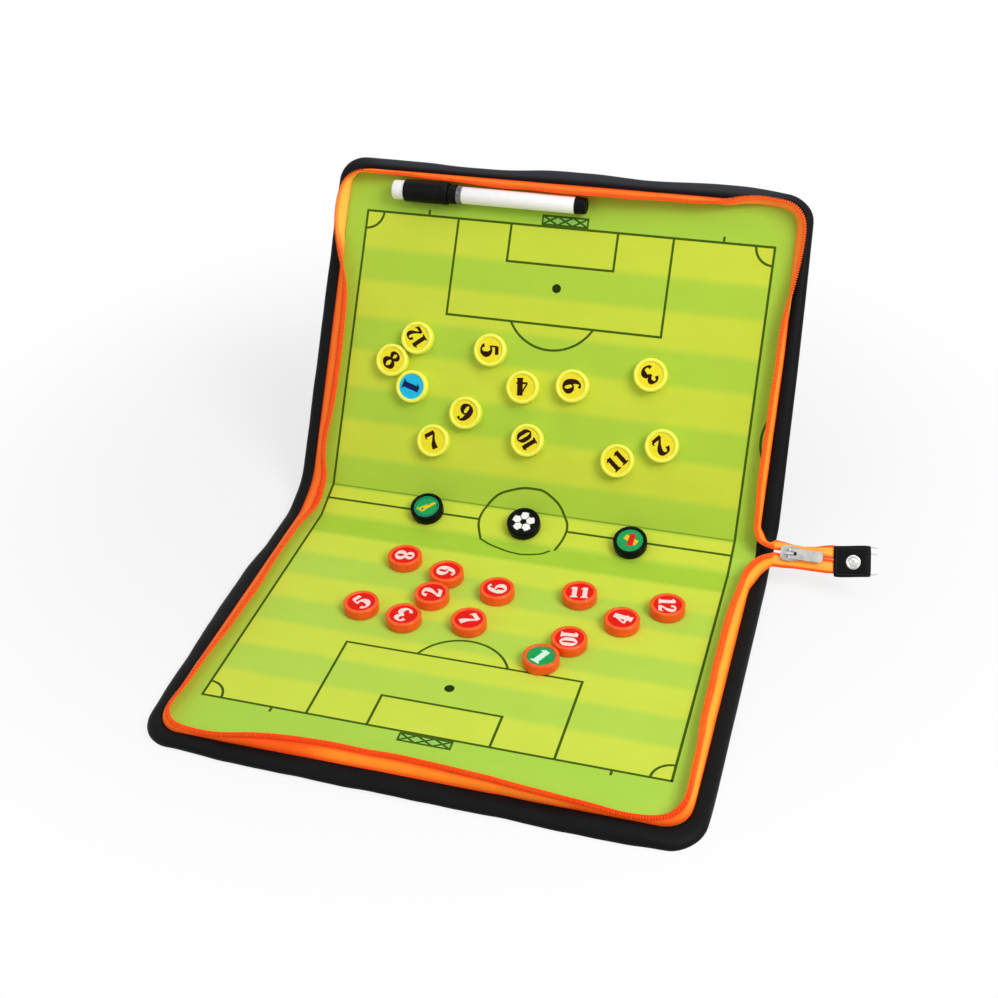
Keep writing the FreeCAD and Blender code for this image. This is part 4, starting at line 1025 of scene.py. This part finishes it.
def whistle(z):
    body = [(-3.4, 1.7), (6.2, 1.0), (6.4, -0.5), (-1.4, -1.9)]
    slit = [(1.4, 1.35), (2.3, 1.3), (2.3, 0.5), (1.4, 0.5)]
    drum = (-3.0, -0.3)
    lots = [("teal", ring_mesh(7.0, 7.7, z)), ("gold", fan(circle(2.1, 24, drum), z + 0.01)),
            ("gold", fan(body, z + 0.012)), ("teal", fan(circle(0.8, 16, drum), z + 0.02)),
            ("teal", fan(slit, z + 0.022)), ("gold", ring_mesh(0.5, 1.0, z + 0.014, 16, (-5.5, 1.3)))]
    return [(name, ([(*spun([(x, y)], 36)[0], high) for x, y, high in spots], faces)) for name, (spots, faces) in lots]


def ball(z):
    corners = [54 + 72 * k for k in range(5)]
    lots = [("white", fan(circle(7.3, 40), z)), ("black", fan(polar(*[(2.5, a) for a in corners]), z + 0.01))]
    for a in corners:
        patch = polar((7.5, a - 19), (7.6, a), (7.5, a + 19), (5.9, a + 14), (5.0, a), (5.9, a - 14))
        seam = [(x, y, 0.5) for x, y in polar((2.3, a), (5.2, a))]
        lots += [("black", fan(patch, z + 0.012)), ("black", stroke_mesh(seam, False, z + 0.014))]
    return lots


def cards(z):
    card = [(-1.9, -4.6), (1.9, -4.6), (1.9, 4.6), (-1.9, 4.6)]
    return [("gold", fan(spun(card, 64, (0.5, 0.5)), z)), ("scarlet", fan(spun(card, -5, (0.7, 0.6)), z + 0.012))]


# What each counter's label is turned by; and by kind its leaf, its usual label and ink, and the keeper's.
LABEL_TURNS = {
    "yellow_12": 129, "yellow_08": -42, "yellow_01": -107, "yellow_05": -87, "yellow_04": -174,
    "yellow_06": -72, "yellow_03": -135, "yellow_09": -28, "yellow_07": 33, "yellow_10": 128, "yellow_11": 50,
    "yellow_02": -132, "red_08": -85, "red_09": 85, "red_02": 97, "red_06": 88, "red_11": 8, "red_12": -80,
    "red_04": 80, "red_07": -49, "red_03": 165, "red_05": 56, "red_10": -84, "red_01": -27,
    "black_whistle": 0, "black_ball": 0, "black_cards": 0,
}
KINDS = {"yellow": ("upper", "yellow", "brown", "cyan", "navy"), "red": ("lower", "red", "blush", "green", "pale")}
PICTURES = {"whistle": ("green", whistle), "ball": ("black", ball), "cards": ("green", cards)}


def counter(name, degrees):
    kind, word = name.split("_")
    if kind == "black":
        leaf = "spine"
        ground, draw = PICTURES[word]
        lots = draw(PRINT_HEIGHT)
    else:
        leaf, *usual = KINDS[kind]
        ground, colour = usual[2:] if word == "01" else usual[:2]
        lots = [(colour, number_mesh(word.lstrip("0")))]
    low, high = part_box(f"token_{name}")
    lift = Matrix.Translation((0, 0, -CUP_MIDDLE))
    place = Matrix.Translation((low + high) / 2 / MM) @ LEAF_FRAMES[leaf].to_3x3().to_4x4() @ lift
    spots, faces = lathe(CUP)
    cup = build(f"counter_{name}_cup", seated(spots, place), faces, CUPS[kind], sharp=50)
    fixed(cup, f"counter_{kind}", f"counter_{name}", f"token_{name}")
    colours = list(dict.fromkeys(colour for colour, mesh in lots))
    drawn = [(1 + colours.index(colour), mesh) for colour, mesh in lots]
    spots, faces, kinds = mixed([(0, fan(circle(LABEL, 48), LABEL_HEIGHT)), *drawn])
    turn = place @ Matrix.Rotation(math.radians(degrees), 4, "Z")
    materials = [INKS[f"label_{ground}"]] + [INKS[f"ink_{colour}"] for colour in colours]
    label = build(f"counter_{name}_label", seated(spots, turn), faces, *materials, kinds=kinds)
    fixed(label, f"counter_{kind}", f"counter_{name}")


for name, degrees in LABEL_TURNS.items():
    counter(name, degrees)


# ---- board marker ----
PEN_PLACE = Matrix.Translation((-116.0, 198.2, 7.3))
PEN_FRAME = LEAF_FRAMES["upper"] @ PEN_PLACE @ Matrix.Rotation(math.pi / 2, 4, "Y")
# Pieces turned about the marker's axis: their sections have rows of radius and place from the eraser's end.
PEN = (
    ("pen_eraser_felt", FELT, "eraser_felt", "pen_cap", "pen_eraser",
     "0 0, 5.4 0.05, 6 0.3, 6.2 0.9, 6.2 4, 6.15 8, 0 8"),
    ("pen_cap_shell", BLACK_PLASTIC, "pen_black", "pen_cap", "pen_cap",
     "0 8, 6.6 8, 7.05 8.3, 7.25 8.9, 7.25 32.4, 7 32.7, 7 33.2, 7.25 33.5, 7.25 37.3, 7.05 37.8, "
     "6.8 38, 5.9 38, 5.75 37.6, 5.75 16, 0 16"),
    ("pen_grip_neck", BLACK_PLASTIC, "pen_black", "pen", "pen_grip",
     "0 26.2, 2.2 26.2, 2.6 26.6, 3.6 28.5, 4.9 31.5, 5.45 33.5, 5.45 38.1, 6 38.2, 6.25 38.6, 6.25 43.4, "
     "6.05 43.9, 5 44, 0 44"),
    ("pen_clear_collar", CLEAR_PLASTIC, "pen_white", "pen", None,
     "5 43.9, 5.75 44, 5.95 44.3, 5.85 44.9, 5.6 45.2, 5.85 45.5, 5.9 46.3, 5.6 46.6, 5.8 46.9, 5.75 47.4, "
     "5.4 47.6, 5 47.6"),
    ("pen_barrel_shell", WHITE_PLASTIC, "pen_white", "pen", "pen_barrel",
     "4.6 47.3, 5.3 47.35, 5.5 47.7, 5.5 122.4, 5.42 122.9, 4.6 123"),
    ("pen_plug_end", BLACK_PLASTIC, "pen_black", "pen", "pen_end_plug",
     "4.4 122.8, 5.45 122.85, 5.7 123.1, 5.7 124.3, 5.45 124.6, 5.4 127, 5.3 129.4, 5.05 130, 4.5 130.4, "
     "3 130.4, 2.6 130, 0 129.9"),
)
for name, material, slot, body, node, section in PEN:
    spots, faces = lathe(listed(section), 44)
    piece = build(name, seated(spots, PEN_FRAME), faces, material, sharp=35)
    fixed(piece, slot, body, *([node] if node else []))

# ---- CAD nodes that stay ----
KEPT = {
    "lower_board": BOARD, "upper_board": BOARD,
    "lower_iron_sheet": IRON, "upper_iron_sheet": IRON, "spine_iron_strip": IRON,
    "zip_slider": METAL, "zip_pull": METAL, "pen_nib": INK_FELT, "pen_reservoir": INK_FELT, "pen_cap_magnet": MAGNET,
}
for node, material in KEPT.items():
    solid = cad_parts[node]
    solid.data.materials.clear()
    solid.data.materials.append(material)
for node in ("zip_slider", "zip_pull"):
    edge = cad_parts[node].modifiers.new("soft_edges", "BEVEL")
    edge.width = 0.00022
    edge.segments = 2
    edge.limit_method = "ANGLE"


# ---- floor, light and camera ----
def watched(tree):
    """One for the rays that show a backdrop: from the camera, and off metal or through glass."""
    rays = add_node(tree, "LightPath").outputs
    found = rays["Is Camera Ray"]
    for kind in ("Is Glossy Ray", "Is Transmission Ray"):
        found = add_node(tree, "Math", {0: found, 1: rays[kind]}, operation="MAXIMUM").outputs[0]
    return found


def glow(tree, kind, strength):
    return add_node(tree, kind, {"Color": (1, 1, 1, 1), "Strength": strength}).outputs[0]


def chosen(tree, share, first, second):
    return add_node(tree, "MixShader", {0: share, 1: first, 2: second}).outputs[0]


# The floor shows a painted soft grey shadow round the upper leaf's foot, which fades to white.
SHADOW_MIDDLE, SHADOW_START, SHADOW_END = (-0.06, 0.2, 0), 0.15, 0.46
FLOOR_HALF, FLOOR_LEVEL = 6000, -0.05
paint = Paint("floor_white", Roughness=0.9, Specular_IOR_Level=0.1)
tree, spot = paint.tree, paint.coords()
paint.done(paint.clouds(paint.noise(spot, 3, 2), srgb(246, 246, 247), srgb(249, 249, 250)))
away = paint.node("VectorMath", {0: spot, 1: SHADOW_MIDDLE}, operation="DISTANCE")
far = paint.ramp(away.outputs["Value"], (SHADOW_START, NONE), (SHADOW_END, FULL), ease="EASE")
veil = paint.node("BsdfDiffuse", {"Color": (0.22, 0.22, 0.22, 1)})
near = paint.node("AddShader", {0: veil.outputs[0], 1: glow(tree, "Emission", 0.71)})
seen_floor = chosen(tree, far, near.outputs[0], glow(tree, "Emission", 1.0))
shown = chosen(tree, watched(tree), paint.shader.outputs[0], seen_floor)
tree.links.new(shown, paint.output.inputs[0])
corners = [(x * FLOOR_HALF, y * FLOOR_HALF, FLOOR_LEVEL) for x, y in ((-1, -1), (1, -1), (1, 1), (-1, 1))]
floor = build("floor", corners, [[0, 1, 2, 3]], paint.material)

world = bpy.data.worlds.new("studio")
bpy.context.scene.world = world
world.use_nodes = True
tree = world.node_tree
tree.nodes.clear()
sky = chosen(tree, watched(tree), glow(tree, "Background", 0.36), glow(tree, "Background", 1.0))
add_node(tree, "OutputWorld", {0: sky})


def lamp(name, place, aim, wide, power):
    light = bpy.data.lights.new(name, "AREA")
    light.shape = "SQUARE"
    light.size = wide
    light.energy = power
    holder = bpy.data.objects.new(name, light)
    holder.location = place
    holder.rotation_euler = (Vector(aim) - Vector(place)).to_track_quat("-Z", "Y").to_euler()
    bpy.context.scene.collection.objects.link(holder)


lamp("key_light", (1.15, -0.45, 1.35), (0, 0.05, 0.05), 0.85, 20)
lamp("fill_light", (-1.2, -1.1, 1.3), (0, 0.05, 0.05), 1.2, 4.5)
lamp("top_light", (0.1, 0.2, 1.9), (0, 0.1, 0.05), 1.2, 6.5)

view = bpy.data.cameras.new("camera")
view.sensor_width = 36
view.lens = 53.29
view.clip_start = 0.01
camera = bpy.data.objects.new("camera", view)
camera.location = (0.221886, -0.613505, 0.572706)
camera.rotation_euler = (0.9592, 0.0343, 0.2871)
bpy.context.scene.collection.objects.link(camera)
bpy.context.scene.camera = camera
bpy.context.scene.view_settings.view_transform = "Standard"
